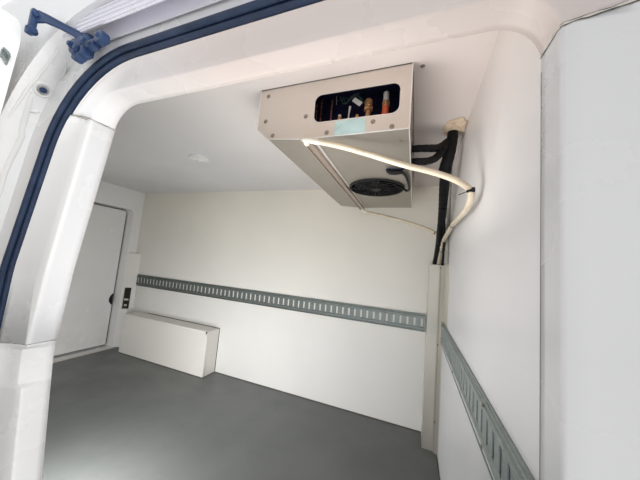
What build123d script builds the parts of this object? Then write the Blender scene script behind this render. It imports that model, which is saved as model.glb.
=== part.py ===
from build123d import *
import os
from math import radians, tan

# Insulated load compartment of a panel van: the body section from the door pillar ring to the rear doors.
# X points forward, Y to the vehicle's left, Z up. The origin is the centre of the four body mounting bolts,
# on the underside of the underframe, midway between the bulkhead lining and the rear frame.

# Inner space, measured between the linings
inner_length = 3290 * MM
inner_width = 1650 * MM
inner_height = 1786 * MM

# Build thicknesses
wall_build = 175 * MM
roof_build = 100 * MM
bulkhead_build = 90 * MM
pillar_ring = 190 * MM
rear_frame_depth = 150 * MM
rail_member_depth = 60 * MM
cross_member_depth = 40 * MM
floor_board = 54 * MM
floor_sheet = 6 * MM
contact_gap = 0.5 * MM
pick_band = 1 * MM

# Places that follow from them
front_x = inner_length / 2
rear_x = -inner_length / 2
nose_x = front_x + pillar_ring
frame_x = rear_x - rear_frame_depth
left_y = inner_width / 2
half_outer = left_y + wall_build
board_z = rail_member_depth + cross_member_depth
floor_z = board_z + floor_board + floor_sheet
ceiling_z = floor_z + inner_height
crown_z = ceiling_z + roof_build
section_length = nose_x - rear_x

# Outer cross-section
skirt_z = 40 * MM
waist_z = 1100 * MM
roof_edge_inset = 30 * MM
roof_edge_drop = 61 * MM
waist_radius = 2500 * MM
roof_edge_radius = 90 * MM
roof_edge_y = half_outer - roof_edge_inset
roof_edge_z = crown_z - roof_edge_drop
rib_height = 7 * MM
rib_width = 70 * MM
rib_pitch = 300 * MM
rib_count = 5
rib_end_gap = 120 * MM
recess_depth = 6 * MM
recess_low = 1010 * MM
recess_high = 1610 * MM
recess_corner = 60 * MM
flare_width = 36 * MM
flare_height = 12 * MM

# Underframe
rail_place_y = 430 * MM
rail_member_width = 80 * MM
rail_member_gap = 2 * MM
cross_member_width = 60 * MM
cross_member_count = 8
mount_spacing_x = 2600 * MM
mount_hole_radius = 7 * MM
bumper_depth = 95 * MM
bumper_corner = 57 * MM
bumper_slope = 14 * MM
bumper_top = 68 * MM
bumper_bottom = 6 * MM
bumper_half_width = 930 * MM

# Side door opening: distances behind the bulkhead lining, above the floor and below the ceiling
clear_front = 25 * MM
clear_rear = 1092 * MM
clear_shoulder = 23 * MM
clear_lean = 112 * MM
clear_drop = 281 * MM
clear_radius = 90 * MM
clear_front_radius = 70 * MM
body_front = -100 * MM
body_rear = 1172 * MM
body_shoulder = 11 * MM
body_lean = 142 * MM
body_drop = 220 * MM
body_radius = 285 * MM
body_front_radius = 160 * MM
body_bottom = -25 * MM
lean_start = 820 * MM
shoulder_height = 1040 * MM
ridge_depth = 55 * MM
seal_set_back = 95 * MM
seal_width = 18 * MM
seal_height = 26 * MM
rebate = 62 * MM
rebate_depth = 75 * MM
frame_header_drop = 68 * MM
frame_front_drop = 62 * MM
foot_height = 850 * MM
foot_reach = 62 * MM
foot_full_height = 420 * MM
seal_depth = wall_build - seal_set_back
clear_top = inner_height - clear_drop
body_top = inner_height - body_drop

# Sliding door, standing open beside the rear quarter
door_lead = 1000 * MM
door_length = 1390 * MM
door_stand_off = 24 * MM
slide_lining = 14 * MM
slide_skin = 42 * MM
slide_bottom = -45 * MM
slide_above_opening = 62 * MM
slide_corner = 120 * MM
slide_margin = 75 * MM
track_width = 34 * MM
track_height = 45 * MM
track_wall = 3 * MM
track_set_back = 52 * MM
track_rear = 1000 * MM
track_front = 30 * MM
waist_track_height = 860 * MM
waist_track_width = 40 * MM
waist_track_depth = 18 * MM
track_end_gap = 60 * MM
arm_drop = 235 * MM
arm_height = 30 * MM
arm_sheet = 5 * MM
arm_bend_rear = 990 * MM
arm_bend_front = 900 * MM
arm_front = 815 * MM
roller_radius = 11 * MM
roller_height = 18 * MM
roller_places = (880 * MM, 835 * MM)
bracket_length = 50 * MM
bracket_height = 26 * MM
arm_low = inner_height - arm_drop

# Rear doorway
post_width = 97 * MM
doorway_drop = 231 * MM
doorway_radius = 40 * MM
door_gap = 5 * MM
door_skin = 55 * MM
door_plug = 40 * MM
door_margin = 14 * MM
leaf_split = 18 * MM
plug_clearance = 12 * MM
leaf_bottom = 78 * MM
leaf_overlap = 130 * MM
panel_recess = 8 * MM
window_blank_low = 900 * MM
window_blank_high = 1500 * MM
window_blank_side = 190 * MM
window_blank_inner = 90 * MM
window_blank_corner = 70 * MM
hinge_axis_out = 12 * MM
hinge_axis_back = 16 * MM
hinge_heights = (300 * MM, 1560 * MM)
knuckle_radius = 10 * MM
knuckle_height = 40 * MM
hinge_plate = 12 * MM
hinge_reach = 30 * MM
hinge_play = 1 * MM
strap_sheet = 5 * MM
strap_reach = 160 * MM
pin_radius = 5 * MM
pin_clearance = 0.1 * MM
lamp_width = 88 * MM
lamp_low = 520 * MM
lamp_high = 930 * MM
lamp_depth = 48 * MM
lamp_gap = 12 * MM
lamp_inset = 4 * MM
release_height = 518 * MM
release_radius = 76 * MM
release_reach = 36 * MM
release_depth = 4 * MM
handle_height = 870 * MM
handle_length = 190 * MM
handle_width = 44 * MM
handle_depth = 16 * MM
handle_inset = 50 * MM
handle_corner = 18 * MM
doorway_height = inner_height - doorway_drop
leaf_top = floor_z + doorway_height + leaf_overlap

# Corner post covers and catch pocket
cover_height = 1055 * MM
cover_reach = 92 * MM
pocket_low = 420 * MM
pocket_high = 660 * MM
pocket_depth = 26 * MM
pocket_start = 0.18
pocket_end = 0.68

# Wheel boxes
wheel_box_front = 1937 * MM
wheel_box_rear = 3093 * MM
wheel_box_depth = 155 * MM
wheel_box_height = 408 * MM
wheel_box_wall = 35 * MM
wheel_box_edge = 6 * MM
arch_radius = 400 * MM
arch_z = 0 * MM
arch_x = front_x - (wheel_box_front + wheel_box_rear) / 2

# Lashing rails
rail_height = 127 * MM
rail_low = 691 * MM
rail_sheet = 2.5 * MM
rail_depth = 12 * MM
rail_recess_depth = 8 * MM
rail_fold = 3 * MM
rail_step = 1 * MM
rail_flange = 11 * MM
rail_slope = 6 * MM
rail_ridge = 12 * MM
rail_pitch = 50 * MM
slot_width = 16 * MM
slot_height = 58 * MM
rail_rear_end = 3195 * MM
rail_duct_gap = 4 * MM
rail_door_gap = 90 * MM
rail_near_end = 1622 * MM

# Corner duct
duct_height = 1180 * MM
duct_reach = 90 * MM
duct_width = 170 * MM
duct_chamfer = 28 * MM
duct_flange = 470 * MM
duct_lip = 30 * MM
duct_sheet = 2 * MM

# Evaporator unit: distances behind the bulkhead lining, from the left lining and below the ceiling
evap_front = 222 * MM
evap_rear = 795 * MM
evap_near = 1276 * MM
evap_far = 220 * MM
evap_drop = 223 * MM
evap_rear_drop = 164 * MM
evap_chamfer_drop = 209 * MM
evap_chamfer_x = 741 * MM
evap_channel_x = 591 * MM
evap_sheet = 3 * MM
window_length = 299 * MM
window_height = 106 * MM
window_radius = 26 * MM
window_x = 405 * MM
window_drop = 113 * MM
bay_depth = 130 * MM
valve_length = 60 * MM
valve_reach = 70 * MM
valve_height = 50 * MM
stub_radius = 9 * MM
channel_width = 34 * MM
channel_drop = 16 * MM
channel_groove = 5 * MM
channel_rim = 6 * MM
nipple_radius = 11 * MM
nipple_length = 12 * MM
coil_rear = 760 * MM
coil_front = 610 * MM
coil_near = 1000 * MM
coil_far = 380 * MM
coil_drop = 180 * MM
cable_slot_x = 288 * MM
cable_slot_y = 947 * MM
cable_slot_length = 76 * MM
cable_slot_width = 30 * MM

# Fans
fan_x_back = 405 * MM
fan_y_inboard = 690 * MM
fan_ring_radius = 145 * MM
fan_ring_wall = 4 * MM
fan_tip_gap = 12 * MM
fan_hub_radius = 45 * MM
fan_depth = 40 * MM
rotor_depth = 22 * MM
blade_count = 7
blade_chord = 62 * MM
blade_thickness = 2.5 * MM
blade_pitch = 24
guard_bar = 4 * MM
guard_arms = 8
motor_radius = 38 * MM
motor_height = 34 * MM

# Roof condenser
condenser_length = 720 * MM
condenser_width = 1120 * MM
condenser_height = 190 * MM
condenser_back = 470 * MM
condenser_shell = 8 * MM
condenser_corner = 120 * MM
condenser_chamfer = 45 * MM
condenser_fan_inset = 290 * MM
condenser_sink = 50 * MM
condenser_guard_bar = 8 * MM
louvre_count = 4
louvre_pitch = 24 * MM
louvre_height = 10 * MM
louvre_low = 34 * MM
mount_radius = 30 * MM
condenser_fan_offset = condenser_width / 2 - condenser_fan_inset

# Lamp and roof gland
lamp_back = 1643 * MM
lamp_inboard = 770 * MM
lamp_radius = 65 * MM
lamp_drop = 14 * MM
gland_back = 48 * MM
gland_inboard = 850 * MM
gland_length = 84 * MM
gland_width = 150 * MM
gland_drop = 10 * MM

# Hose and pipe sizes
hose_radius = 9 * MM
pipe_radius = 13 * MM
bundle_radius = 22 * MM
conduit_radius = 10 * MM
conduit_inboard = 395 * MM
tube_side_count = 8
bend_share = 0.45


def back(distance):
    """X of a place this far behind the bulkhead lining."""
    return front_x - distance


def inboard(distance):
    """Y of a place this far from the left lining."""
    return left_y - distance


def above(height):
    """Z of a place this far above the floor."""
    return floor_z + height


def below(drop):
    """Z of a place this far below the ceiling."""
    return ceiling_z - drop


def block(x_range, y_range, z_range, mode=Mode.ADD):
    """Adds or cuts a box between two values on each axis."""
    centre = [(low + high) / 2 for low, high in (x_range, y_range, z_range)]
    size = [abs(high - low) for low, high in (x_range, y_range, z_range)]
    with Locations(tuple(centre)):
        Box(*size, mode=mode)


def body_section(grow=0.0, mode=Mode.ADD):
    """Outer cross-section of the body on a YZ plane, grown outwards by a distance."""
    side_y = half_outer + grow
    edge_y = roof_edge_y + grow
    with BuildSketch(mode=Mode.PRIVATE) as section:
        with BuildLine() as outline:
            Polyline(
                (-edge_y, roof_edge_z),
                (-side_y, waist_z),
                (-side_y, skirt_z),
                (side_y, skirt_z),
                (side_y, waist_z),
                (edge_y, roof_edge_z),
            )
            ThreePointArc((edge_y, roof_edge_z), (0, crown_z + grow), (-edge_y, roof_edge_z))
        face = make_face(outline.edges())
        waist = face.vertices().filter_by_position(Axis.Y, waist_z - pick_band, waist_z + pick_band)
        fillet(waist, radius=waist_radius)
        roof_edge = section.vertices().filter_by_position(Axis.Y, roof_edge_z - pick_band, roof_edge_z + pick_band)
        fillet(roof_edge, radius=roof_edge_radius)
    add(section.sketch, mode=mode)


def door_outline(kind, inset=0.0, low_z=floor_z, mode=Mode.ADD):
    """Side door outline on an XZ plane: the clear way or the body opening, drawn inset from the sides and top."""
    if kind == "clear":
        rear, shoulder, lean, foot = clear_rear, clear_shoulder, clear_lean, foot_reach
        front, top = clear_front, clear_top
        rear_radius, front_radius = clear_radius, clear_front_radius
    else:
        rear, shoulder, lean, foot = body_rear, body_shoulder, body_lean, 0
        front, top = body_front, body_top
        rear_radius, front_radius = body_radius, body_front_radius
    with BuildSketch(mode=Mode.PRIVATE) as opening:
        with BuildLine() as outline:
            Polyline(
                (back(rear - foot - inset), low_z),
                (back(front + inset), low_z),
                (back(front + inset), above(top - inset)),
                (back(rear - lean - inset), above(top - inset)),
                (back(rear - shoulder - inset), above(shoulder_height)),
                (back(rear - inset), above(lean_start)),
                (back(rear - foot - inset), above(foot_full_height)),
                close=True,
            )
        make_face(outline.edges())
        fillet(opening.vertices().group_by(Axis.Y)[-1].sort_by(Axis.X)[0], radius=rear_radius - inset)
        fillet(opening.vertices().group_by(Axis.Y)[-1].sort_by(Axis.X)[-1], radius=front_radius - inset)
    add(opening.sketch, mode=mode)


def arch_cut(low_y, high_y):
    """Cuts the round wheel arch between two Y values."""
    with Locations(Location((arch_x, (low_y + high_y) / 2, arch_z), (90, 0, 0))):
        Cylinder(arch_radius, abs(high_y - low_y), mode=Mode.SUBTRACT)


def wall_slab(side):
    """Plain side wall at its whole thickness, with its wheel arch and flare; side is 1 for left."""
    with BuildSketch(Plane.YZ.offset(rear_x)) as slab:
        body_section()
        with Locations((side * (left_y + wall_build), skirt_z)):
            Rectangle(2 * wall_build, 2 * (ceiling_z - skirt_z), mode=Mode.INTERSECT)
    extrude(slab.sketch, amount=section_length)
    flare_y = side * (half_outer + flare_height / 2)
    with Locations(Location((arch_x, flare_y, arch_z), (90, 0, 0))):
        Cylinder(arch_radius + flare_width, flare_height)
    block((arch_x - 2 * arch_radius, arch_x + 2 * arch_radius), (-2 * half_outer, 2 * half_outer),
          (-2 * arch_radius, skirt_z), mode=Mode.SUBTRACT)
    arch_cut(side * left_y, side * (half_outer + 2 * flare_height))


# Underframe
with BuildPart() as underframe:
    for side in (-1, 1):
        block((frame_x, nose_x),
              (side * rail_place_y - rail_member_width / 2, side * rail_place_y + rail_member_width / 2),
              (0, rail_member_depth))
    with Locations((0, 0, rail_member_depth / 2)):
        with GridLocations(mount_spacing_x, 2 * rail_place_y, 2, 2):
            Cylinder(mount_hole_radius, 2 * rail_member_depth, mode=Mode.SUBTRACT)

member_first = rear_x + cross_member_width
member_last = nose_x - cross_member_width
member_pitch = (member_last - member_first) / (cross_member_count - 1)
with BuildPart() as cross_members:
    for index in range(cross_member_count):
        place = member_first + index * member_pitch
        beside_arch = abs(place - arch_x) < arch_radius + cross_member_width
        reach = left_y - wheel_box_depth - wheel_box_wall if beside_arch else left_y
        block((place - cross_member_width / 2, place + cross_member_width / 2), (-reach, reach),
              (rail_member_depth, board_z))

with BuildPart() as rear_bumper:
    with BuildSketch(Plane.XY.offset(bumper_bottom)):
        with Locations((frame_x - bumper_depth / 2, 0)):
            step = Rectangle(bumper_depth, 2 * bumper_half_width)
        chamfer(step.vertices().group_by(Axis.X)[0], length=bumper_corner)
    extrude(amount=bumper_top - bumper_bottom)
    rear_edges = rear_bumper.faces().sort_by(Axis.Z)[-1].edges().sort_by(Axis.X)[0]
    chamfer(rear_edges, length=bumper_slope)

# Floor
with BuildPart() as floor_panel:
    block((rear_x, nose_x), (-left_y, left_y), (board_z, board_z + floor_board))
    arch_cut(-left_y, -left_y + wheel_box_depth - wheel_box_wall)
    arch_cut(left_y - wheel_box_depth + wheel_box_wall, left_y)

with BuildPart() as floor_covering:
    block((rear_x, front_x), (-left_y, left_y), (board_z + floor_board, floor_z))
    for side in (-1, 1):
        inner_y = side * (left_y - wheel_box_depth)
        block((back(wheel_box_rear), back(wheel_box_front)), (inner_y, side * left_y),
              (board_z, ceiling_z), mode=Mode.SUBTRACT)


def wheel_box(side):
    """Insulated box over one wheel arch; side is 1 for left."""
    inner_y = side * (left_y - wheel_box_depth)
    block((back(wheel_box_rear), back(wheel_box_front)), (inner_y, side * left_y),
          (board_z + floor_board, above(wheel_box_height)))
    arch_cut(side * left_y, inner_y + side * wheel_box_wall)


with BuildPart() as wheel_box_left:
    wheel_box(1)
    chamfer(wheel_box_left.faces().sort_by(Axis.Z)[-1].edges().sort_by(Axis.Y)[0], length=wheel_box_edge)

with BuildPart() as wheel_box_right:
    wheel_box(-1)
    chamfer(wheel_box_right.faces().sort_by(Axis.Z)[-1].edges().sort_by(Axis.Y)[-1], length=wheel_box_edge)

# Pressed recesses in the outer skin: side, rear end, front end (behind the bulkhead lining)
recess_table = (
    (1, 2960 * MM, 1560 * MM),
    (1, 1420 * MM, 120 * MM),
    (-1, 2960 * MM, 1420 * MM),
)
with BuildPart() as skin_band:
    with BuildSketch(Plane.YZ.offset(rear_x)):
        body_section()
        body_section(grow=-recess_depth, mode=Mode.SUBTRACT)
    extrude(amount=section_length)

with BuildPart() as skin_recesses:
    for side, rear_end, front_end in recess_table:
        plane = Plane.XZ.offset(-side * (half_outer - wall_build / 2))
        with BuildSketch(plane):
            with Locations((back((rear_end + front_end) / 2), above((recess_low + recess_high) / 2))):
                RectangleRounded(rear_end - front_end, recess_high - recess_low, recess_corner)
        extrude(amount=-side * wall_build)
    add(skin_band.part, mode=Mode.INTERSECT)

# Side walls, roof and bulkhead
with BuildPart() as left_wall:
    wall_slab(1)
    add(skin_recesses.part, mode=Mode.SUBTRACT)

with BuildPart() as right_wall:
    wall_slab(-1)
    add(skin_recesses.part, mode=Mode.SUBTRACT)
    with BuildSketch(Plane.XZ.offset(left_y)):
        door_outline("body", low_z=above(body_bottom))
    extrude(amount=2 * wall_build, mode=Mode.SUBTRACT)
    with BuildSketch(Plane.XZ.offset(half_outer - rebate_depth)):
        door_outline("body", inset=-rebate, low_z=above(body_bottom) - rebate)
    extrude(amount=2 * wall_build, mode=Mode.SUBTRACT)

with BuildPart() as roof_panel:
    with BuildSketch(Plane.YZ.offset(rear_x)):
        body_section()
        with Locations((0, ceiling_z + roof_build)):
            Rectangle(4 * half_outer, 2 * roof_build, mode=Mode.INTERSECT)
    extrude(amount=section_length)
    with BuildSketch(Plane.YZ.offset(rear_x + rib_end_gap)):
        body_section(grow=rib_height)
        body_section(mode=Mode.SUBTRACT)
        with Locations((0, crown_z)):
            with GridLocations(rib_pitch, 1, rib_count, 1):
                Rectangle(rib_width, 2 * roof_build, mode=Mode.INTERSECT)
    extrude(amount=section_length - 2 * rib_end_gap)

with BuildPart() as bulkhead:
    block((front_x, front_x + bulkhead_build), (-left_y, left_y), (board_z + floor_board, ceiling_z))

# Rear frame
doorway_half = left_y - post_width
with BuildPart() as rear_frame:
    with BuildSketch(Plane.YZ.offset(frame_x)) as frame_face:
        body_section()
        with BuildSketch(mode=Mode.PRIVATE) as doorway:
            with Locations((0, above(doorway_height / 2))):
                Rectangle(2 * doorway_half, doorway_height)
            fillet(doorway.vertices().group_by(Axis.Y)[-1], radius=doorway_radius)
        add(doorway.sketch, mode=Mode.SUBTRACT)
        with Locations((0, skirt_z)):
            Rectangle(2 * rail_place_y + rail_member_width + rail_member_gap, 2 * (board_z - skirt_z),
                      mode=Mode.SUBTRACT)
    extrude(amount=rear_frame_depth)

# Moulded frame lining of the side door: a straight reveal, then a flare out to the seal
with BuildPart() as frame_ring:
    with BuildSketch(Plane.XZ.offset(left_y)):
        door_outline("body", inset=contact_gap, low_z=above(body_bottom) + contact_gap)
    extrude(amount=seal_depth)
    with BuildSketch(Plane.XZ.offset(left_y)):
        door_outline("clear")
    extrude(amount=ridge_depth, mode=Mode.SUBTRACT)
    with BuildSketch(Plane.XZ.offset(left_y + ridge_depth)):
        door_outline("clear")
    with BuildSketch(Plane.XZ.offset(left_y + seal_depth)):
        door_outline("body", inset=seal_width)
    loft(ruled=True, mode=Mode.SUBTRACT)

ring_middle = back((clear_rear + clear_front) / 2)
ring_rear = back(2 * body_rear)
ring_depth = (-half_outer, -left_y)
header_rear_z = above(clear_top - frame_header_drop)
header_front_z = above(clear_top - frame_front_drop)
with BuildPart() as door_frame_header:
    add(frame_ring.part)
    block((ring_rear, ring_middle), ring_depth, (0, header_rear_z), mode=Mode.SUBTRACT)
    block((ring_middle, nose_x), ring_depth, (0, header_front_z), mode=Mode.SUBTRACT)

with BuildPart() as door_frame_rear_post:
    add(frame_ring.part)
    block((ring_rear, ring_middle), ring_depth, (above(foot_height), header_rear_z), mode=Mode.INTERSECT)

with BuildPart() as door_frame_rear_foot:
    add(frame_ring.part)
    block((ring_rear, ring_middle), ring_depth, (floor_z, above(foot_height)), mode=Mode.INTERSECT)

with BuildPart() as door_frame_front_post:
    add(frame_ring.part)
    block((ring_middle, nose_x), ring_depth, (floor_z, header_front_z), mode=Mode.INTERSECT)

with BuildPart() as door_sill:
    add(frame_ring.part)
    block((ring_rear, nose_x), ring_depth, (0, floor_z), mode=Mode.INTERSECT)

with BuildPart() as side_door_seal:
    with BuildSketch(Plane.XZ.offset(left_y + seal_depth)):
        door_outline("body", inset=contact_gap, low_z=above(body_bottom) + contact_gap)
        door_outline("body", inset=seal_width, low_z=above(body_bottom) + seal_width, mode=Mode.SUBTRACT)
    extrude(amount=seal_height)

# Tracks that carry the sliding door
track_top = above(body_top + rebate)
track_y = -(half_outer - track_set_back)
with BuildPart() as upper_track:
    block((back(track_rear), back(track_front)), (track_y - track_width / 2, track_y + track_width / 2),
          (track_top - track_height, track_top))
    block((back(track_rear), back(track_front)),
          (track_y - track_width / 2 + track_wall, track_y + track_width / 2 - track_wall),
          (track_top - track_height, track_top - track_wall), mode=Mode.SUBTRACT)
    with BuildSketch(Plane.XZ.offset(left_y)):
        door_outline("body", inset=contact_gap - rebate)
    extrude(amount=2 * wall_build, mode=Mode.INTERSECT)

waist_rear_x = rear_x + track_end_gap
waist_front_x = back(body_rear + rebate + track_end_gap)
waist_track_z = above(waist_track_height)
with BuildPart() as waist_track:
    block((waist_rear_x, waist_front_x), (-half_outer - waist_track_depth, -half_outer),
          (waist_track_z - waist_track_width / 2, waist_track_z + waist_track_width / 2))
    block((waist_rear_x, waist_front_x), (-half_outer - waist_track_depth, -half_outer - track_wall),
          (waist_track_z - waist_track_width / 2 + track_wall, waist_track_z + waist_track_width / 2 - track_wall),
          mode=Mode.SUBTRACT)

# Sliding door, standing open beside the rear quarter
slide_rear_x = back(door_lead + door_length)
slide_middle = back(door_lead + door_length / 2)
slide_low = above(slide_bottom)
slide_high = above(body_top + slide_above_opening)
lining_y = half_outer + door_stand_off
skin_y = lining_y + slide_lining


def slide_layer(inner_grow, outer_grow, inset):
    """One curved layer of the sliding door between two offsets of the body's outer section."""
    with BuildSketch(Plane.YZ.offset(slide_rear_x)) as band:
        body_section(grow=outer_grow)
        body_section(grow=inner_grow, mode=Mode.SUBTRACT)
    extrude(band.sketch, amount=door_length)
    with BuildSketch(Plane.XZ.offset(left_y)) as outline:
        with Locations((slide_middle, (slide_low + slide_high) / 2)):
            RectangleRounded(door_length - 2 * inset, slide_high - slide_low - 2 * inset, slide_corner)
    extrude(outline.sketch, amount=2 * wall_build + slide_skin, mode=Mode.INTERSECT)


with BuildPart() as sliding_door:
    slide_layer(skin_y - half_outer, skin_y + slide_skin - half_outer, 0)

with BuildPart() as sliding_door_lining:
    slide_layer(door_stand_off, skin_y - half_outer, slide_margin)

# Upper arm with its rollers, and the waist bracket. The door leans inwards above the waist, and so does its arm.
arm_lean = roof_edge_inset * (above(arm_low) + arm_height - waist_z) / (roof_edge_z - waist_z)
arm_y = arm_lean - skin_y
with BuildPart() as sliding_door_arm:
    with BuildSketch(Plane.XY.offset(above(arm_low))) as plan:
        with BuildLine() as bar:
            Polyline(
                (back(door_lead + slide_margin), arm_y),
                (back(arm_bend_rear), arm_y),
                (back(arm_bend_front), track_y),
                (back(arm_front), track_y),
                (back(arm_front), track_y + arm_sheet),
                (back(arm_bend_front), track_y + arm_sheet),
                (back(arm_bend_rear), arm_y + arm_sheet),
                (back(door_lead + slide_margin), arm_y + arm_sheet),
                close=True,
            )
        make_face(bar.edges())
    extrude(plan.sketch, amount=arm_height)
    for place in roller_places:
        with Locations((back(place), track_y, above(arm_low) + arm_height + roller_height / 2)):
            Cylinder(roller_radius, roller_height)
    bracket_x = slide_rear_x + slide_margin / 2
    block((bracket_x - bracket_length / 2, bracket_x + bracket_length / 2),
          (-skin_y, -half_outer - waist_track_depth),
          (waist_track_z - bracket_height / 2, waist_track_z + bracket_height / 2))

# Lashing rails
rail_mid_z = above(rail_low + rail_height / 2)


def rail_on(plane, length):
    """One pressed rail from a plane whose X is up and whose Y leads away from the wall, with its row of slots."""
    half = rail_height / 2
    bend = half - rail_flange
    crest = bend - rail_slope
    dip = crest - rail_ridge
    rest = dip - rail_fold
    face_side = ((half, rail_sheet), (bend, rail_sheet), (crest, rail_depth), (dip, rail_depth),
                 (rest, rail_recess_depth))
    wall_side = ((half, 0), (bend - rail_sheet, 0), (crest - rail_sheet, rail_depth - rail_sheet),
                 (dip + rail_step, rail_depth - rail_sheet), (rest + rail_step, rail_recess_depth - rail_sheet))
    face_mirror = [(-across, depth) for across, depth in reversed(face_side)]
    wall_mirror = [(-across, depth) for across, depth in wall_side]
    with BuildSketch(plane) as section:
        with BuildLine() as outline:
            Polyline(*face_side, *face_mirror, *wall_mirror, *reversed(wall_side), close=True)
        make_face(outline.edges())
    extrude(section.sketch, amount=length)
    count = int(length // rail_pitch)
    middle = plane.offset(length / 2)
    slots = Plane(origin=middle.origin, x_dir=plane.z_dir, z_dir=plane.y_dir)
    with Locations(slots):
        with GridLocations(rail_pitch, 1, count, 1):
            Box(slot_width, slot_height, 4 * rail_depth, mode=Mode.SUBTRACT)


side_rail_end = duct_reach + rail_duct_gap
right_rail_start = body_rear + rail_door_gap
cross_rail_end = duct_width + 2 * duct_lip + rail_duct_gap
with BuildPart() as lashing_rail_left:
    rail_on(Plane(origin=(back(rail_rear_end), left_y, rail_mid_z), x_dir=(0, 0, 1), z_dir=(1, 0, 0)),
            rail_rear_end - side_rail_end)

with BuildPart() as lashing_rail_right:
    rail_on(Plane(origin=(back(right_rail_start), -left_y, rail_mid_z), x_dir=(0, 0, 1), z_dir=(-1, 0, 0)),
            rail_rear_end - right_rail_start)

with BuildPart() as lashing_rail_bulkhead:
    rail_on(Plane(origin=(front_x, inboard(rail_near_end), rail_mid_z), x_dir=(0, 0, -1), z_dir=(0, 1, 0)),
            rail_near_end - cross_rail_end)

# Corner duct, with a narrow lip on the bulkhead and a wide flange above the rail
with BuildPart() as corner_duct:
    with BuildSketch(Plane.XY.offset(floor_z)):
        with BuildLine():
            Polyline(
                (back(duct_reach), left_y),
                (back(duct_reach), inboard(duct_width)),
                (back(duct_chamfer), inboard(duct_width)),
                (back(duct_sheet), inboard(duct_width + duct_lip)),
                (back(duct_sheet), inboard(duct_width + 2 * duct_lip)),
                (front_x, inboard(duct_width + 2 * duct_lip)),
                (front_x, inboard(duct_width + duct_lip - duct_sheet)),
                (back(duct_chamfer - duct_sheet), inboard(duct_width - duct_sheet)),
                (back(duct_reach - duct_sheet), inboard(duct_width - duct_sheet)),
                (back(duct_reach - duct_sheet), left_y),
                close=True,
            )
        make_face()
    extrude(amount=duct_height)
    block((back(duct_sheet), front_x), (inboard(duct_flange), inboard(duct_width + duct_lip)),
          (above(rail_low + rail_height) + rail_duct_gap, above(duct_height)))

# Evaporator unit
evap_bottom_z = below(evap_drop)
evap_length = evap_near - evap_far
fan_x = back(fan_x_back)
fan_y = inboard(fan_y_inboard)
fan_radius = fan_ring_radius - fan_ring_wall - fan_tip_gap


def evap_section(wall):
    """Outline of the evaporator, drawn inwards by the wall."""
    with BuildLine() as outline:
        Polyline(
            (back(evap_front + wall), ceiling_z),
            (back(evap_rear - wall), ceiling_z),
            (back(evap_rear - wall), below(evap_rear_drop) + wall / 2),
            (back(evap_chamfer_x - wall / 2), below(evap_chamfer_drop) + wall),
            (back(evap_channel_x), evap_bottom_z + wall),
            (back(evap_front + wall), evap_bottom_z + wall),
            close=True,
        )
    make_face(outline.edges())


with BuildPart() as evaporator_housing:
    with BuildSketch(Plane.XZ.offset(-inboard(evap_far))) as shell:
        evap_section(0)
        with BuildSketch(mode=Mode.PRIVATE) as hollow:
            evap_section(evap_sheet)
        add(hollow.sketch, mode=Mode.SUBTRACT)
    extrude(shell.sketch, amount=evap_length)
    with BuildSketch(Plane.XZ.offset(-inboard(evap_near - bay_depth))) as partition:
        evap_section(evap_sheet)
    extrude(partition.sketch, amount=evap_sheet)
    with Locations((fan_x, fan_y, evap_bottom_z)):
        Cylinder(fan_ring_radius, 2 * fan_depth, mode=Mode.SUBTRACT)
    with BuildSketch(Plane.XY.offset(evap_bottom_z - evap_sheet)) as cable_slot:
        with Locations((back(cable_slot_x), inboard(cable_slot_y))):
            SlotOverall(cable_slot_length, cable_slot_width)
    extrude(cable_slot.sketch, amount=3 * evap_sheet, mode=Mode.SUBTRACT)

with BuildPart() as evaporator_end_plate:
    with BuildSketch(Plane.XZ.offset(-inboard(evap_near))):
        evap_section(0)
        with Locations((back(window_x), below(window_drop))):
            RectangleRounded(window_length, window_height, window_radius, mode=Mode.SUBTRACT)
    extrude(amount=evap_sheet)

with BuildPart() as evaporator_far_plate:
    with BuildSketch(Plane.XZ.offset(-inboard(evap_far) - evap_sheet)):
        evap_section(0)
    extrude(amount=evap_sheet)

with BuildPart() as evaporator_coil:
    block((back(coil_rear), back(coil_front)), (inboard(coil_near), inboard(coil_far)),
          (below(coil_drop), ceiling_z))

channel_x = back(evap_channel_x - channel_width / 2)
with BuildPart() as drain_channel:
    block((channel_x - channel_width / 2, channel_x + channel_width / 2), (inboard(evap_near), inboard(evap_far)),
          (evap_bottom_z - channel_drop, evap_bottom_z))
    block((channel_x - channel_width / 2 + channel_rim, channel_x + channel_width / 2 - channel_rim),
          (inboard(evap_near), inboard(evap_far)),
          (evap_bottom_z - channel_drop, evap_bottom_z - channel_drop + channel_groove), mode=Mode.SUBTRACT)
    nipple_z = evap_bottom_z - nipple_radius
    for plane_y, lead in ((inboard(evap_near), -1), (inboard(evap_far), 1)):
        with BuildSketch(Plane(origin=(channel_x, plane_y, nipple_z), z_dir=(0, lead, 0))) as nipple:
            RegularPolygon(nipple_radius, tube_side_count)
        extrude(nipple.sketch, amount=nipple_length)

fan_low_z = evap_bottom_z
rotor_z = fan_low_z + fan_depth / 2
motor_low_z = fan_low_z + fan_depth + contact_gap
with BuildPart() as evaporator_fan_ring:
    with Locations((fan_x, fan_y, rotor_z)):
        Cylinder(fan_ring_radius, fan_depth)
        Cylinder(fan_ring_radius - fan_ring_wall, 2 * fan_depth, mode=Mode.SUBTRACT)
    with Locations((fan_x, fan_y, fan_low_z - guard_bar / 2)):
        with PolarLocations(0, guard_arms // 2, angular_range=180):
            Box(2 * fan_ring_radius - 1, guard_bar, guard_bar)

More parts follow.
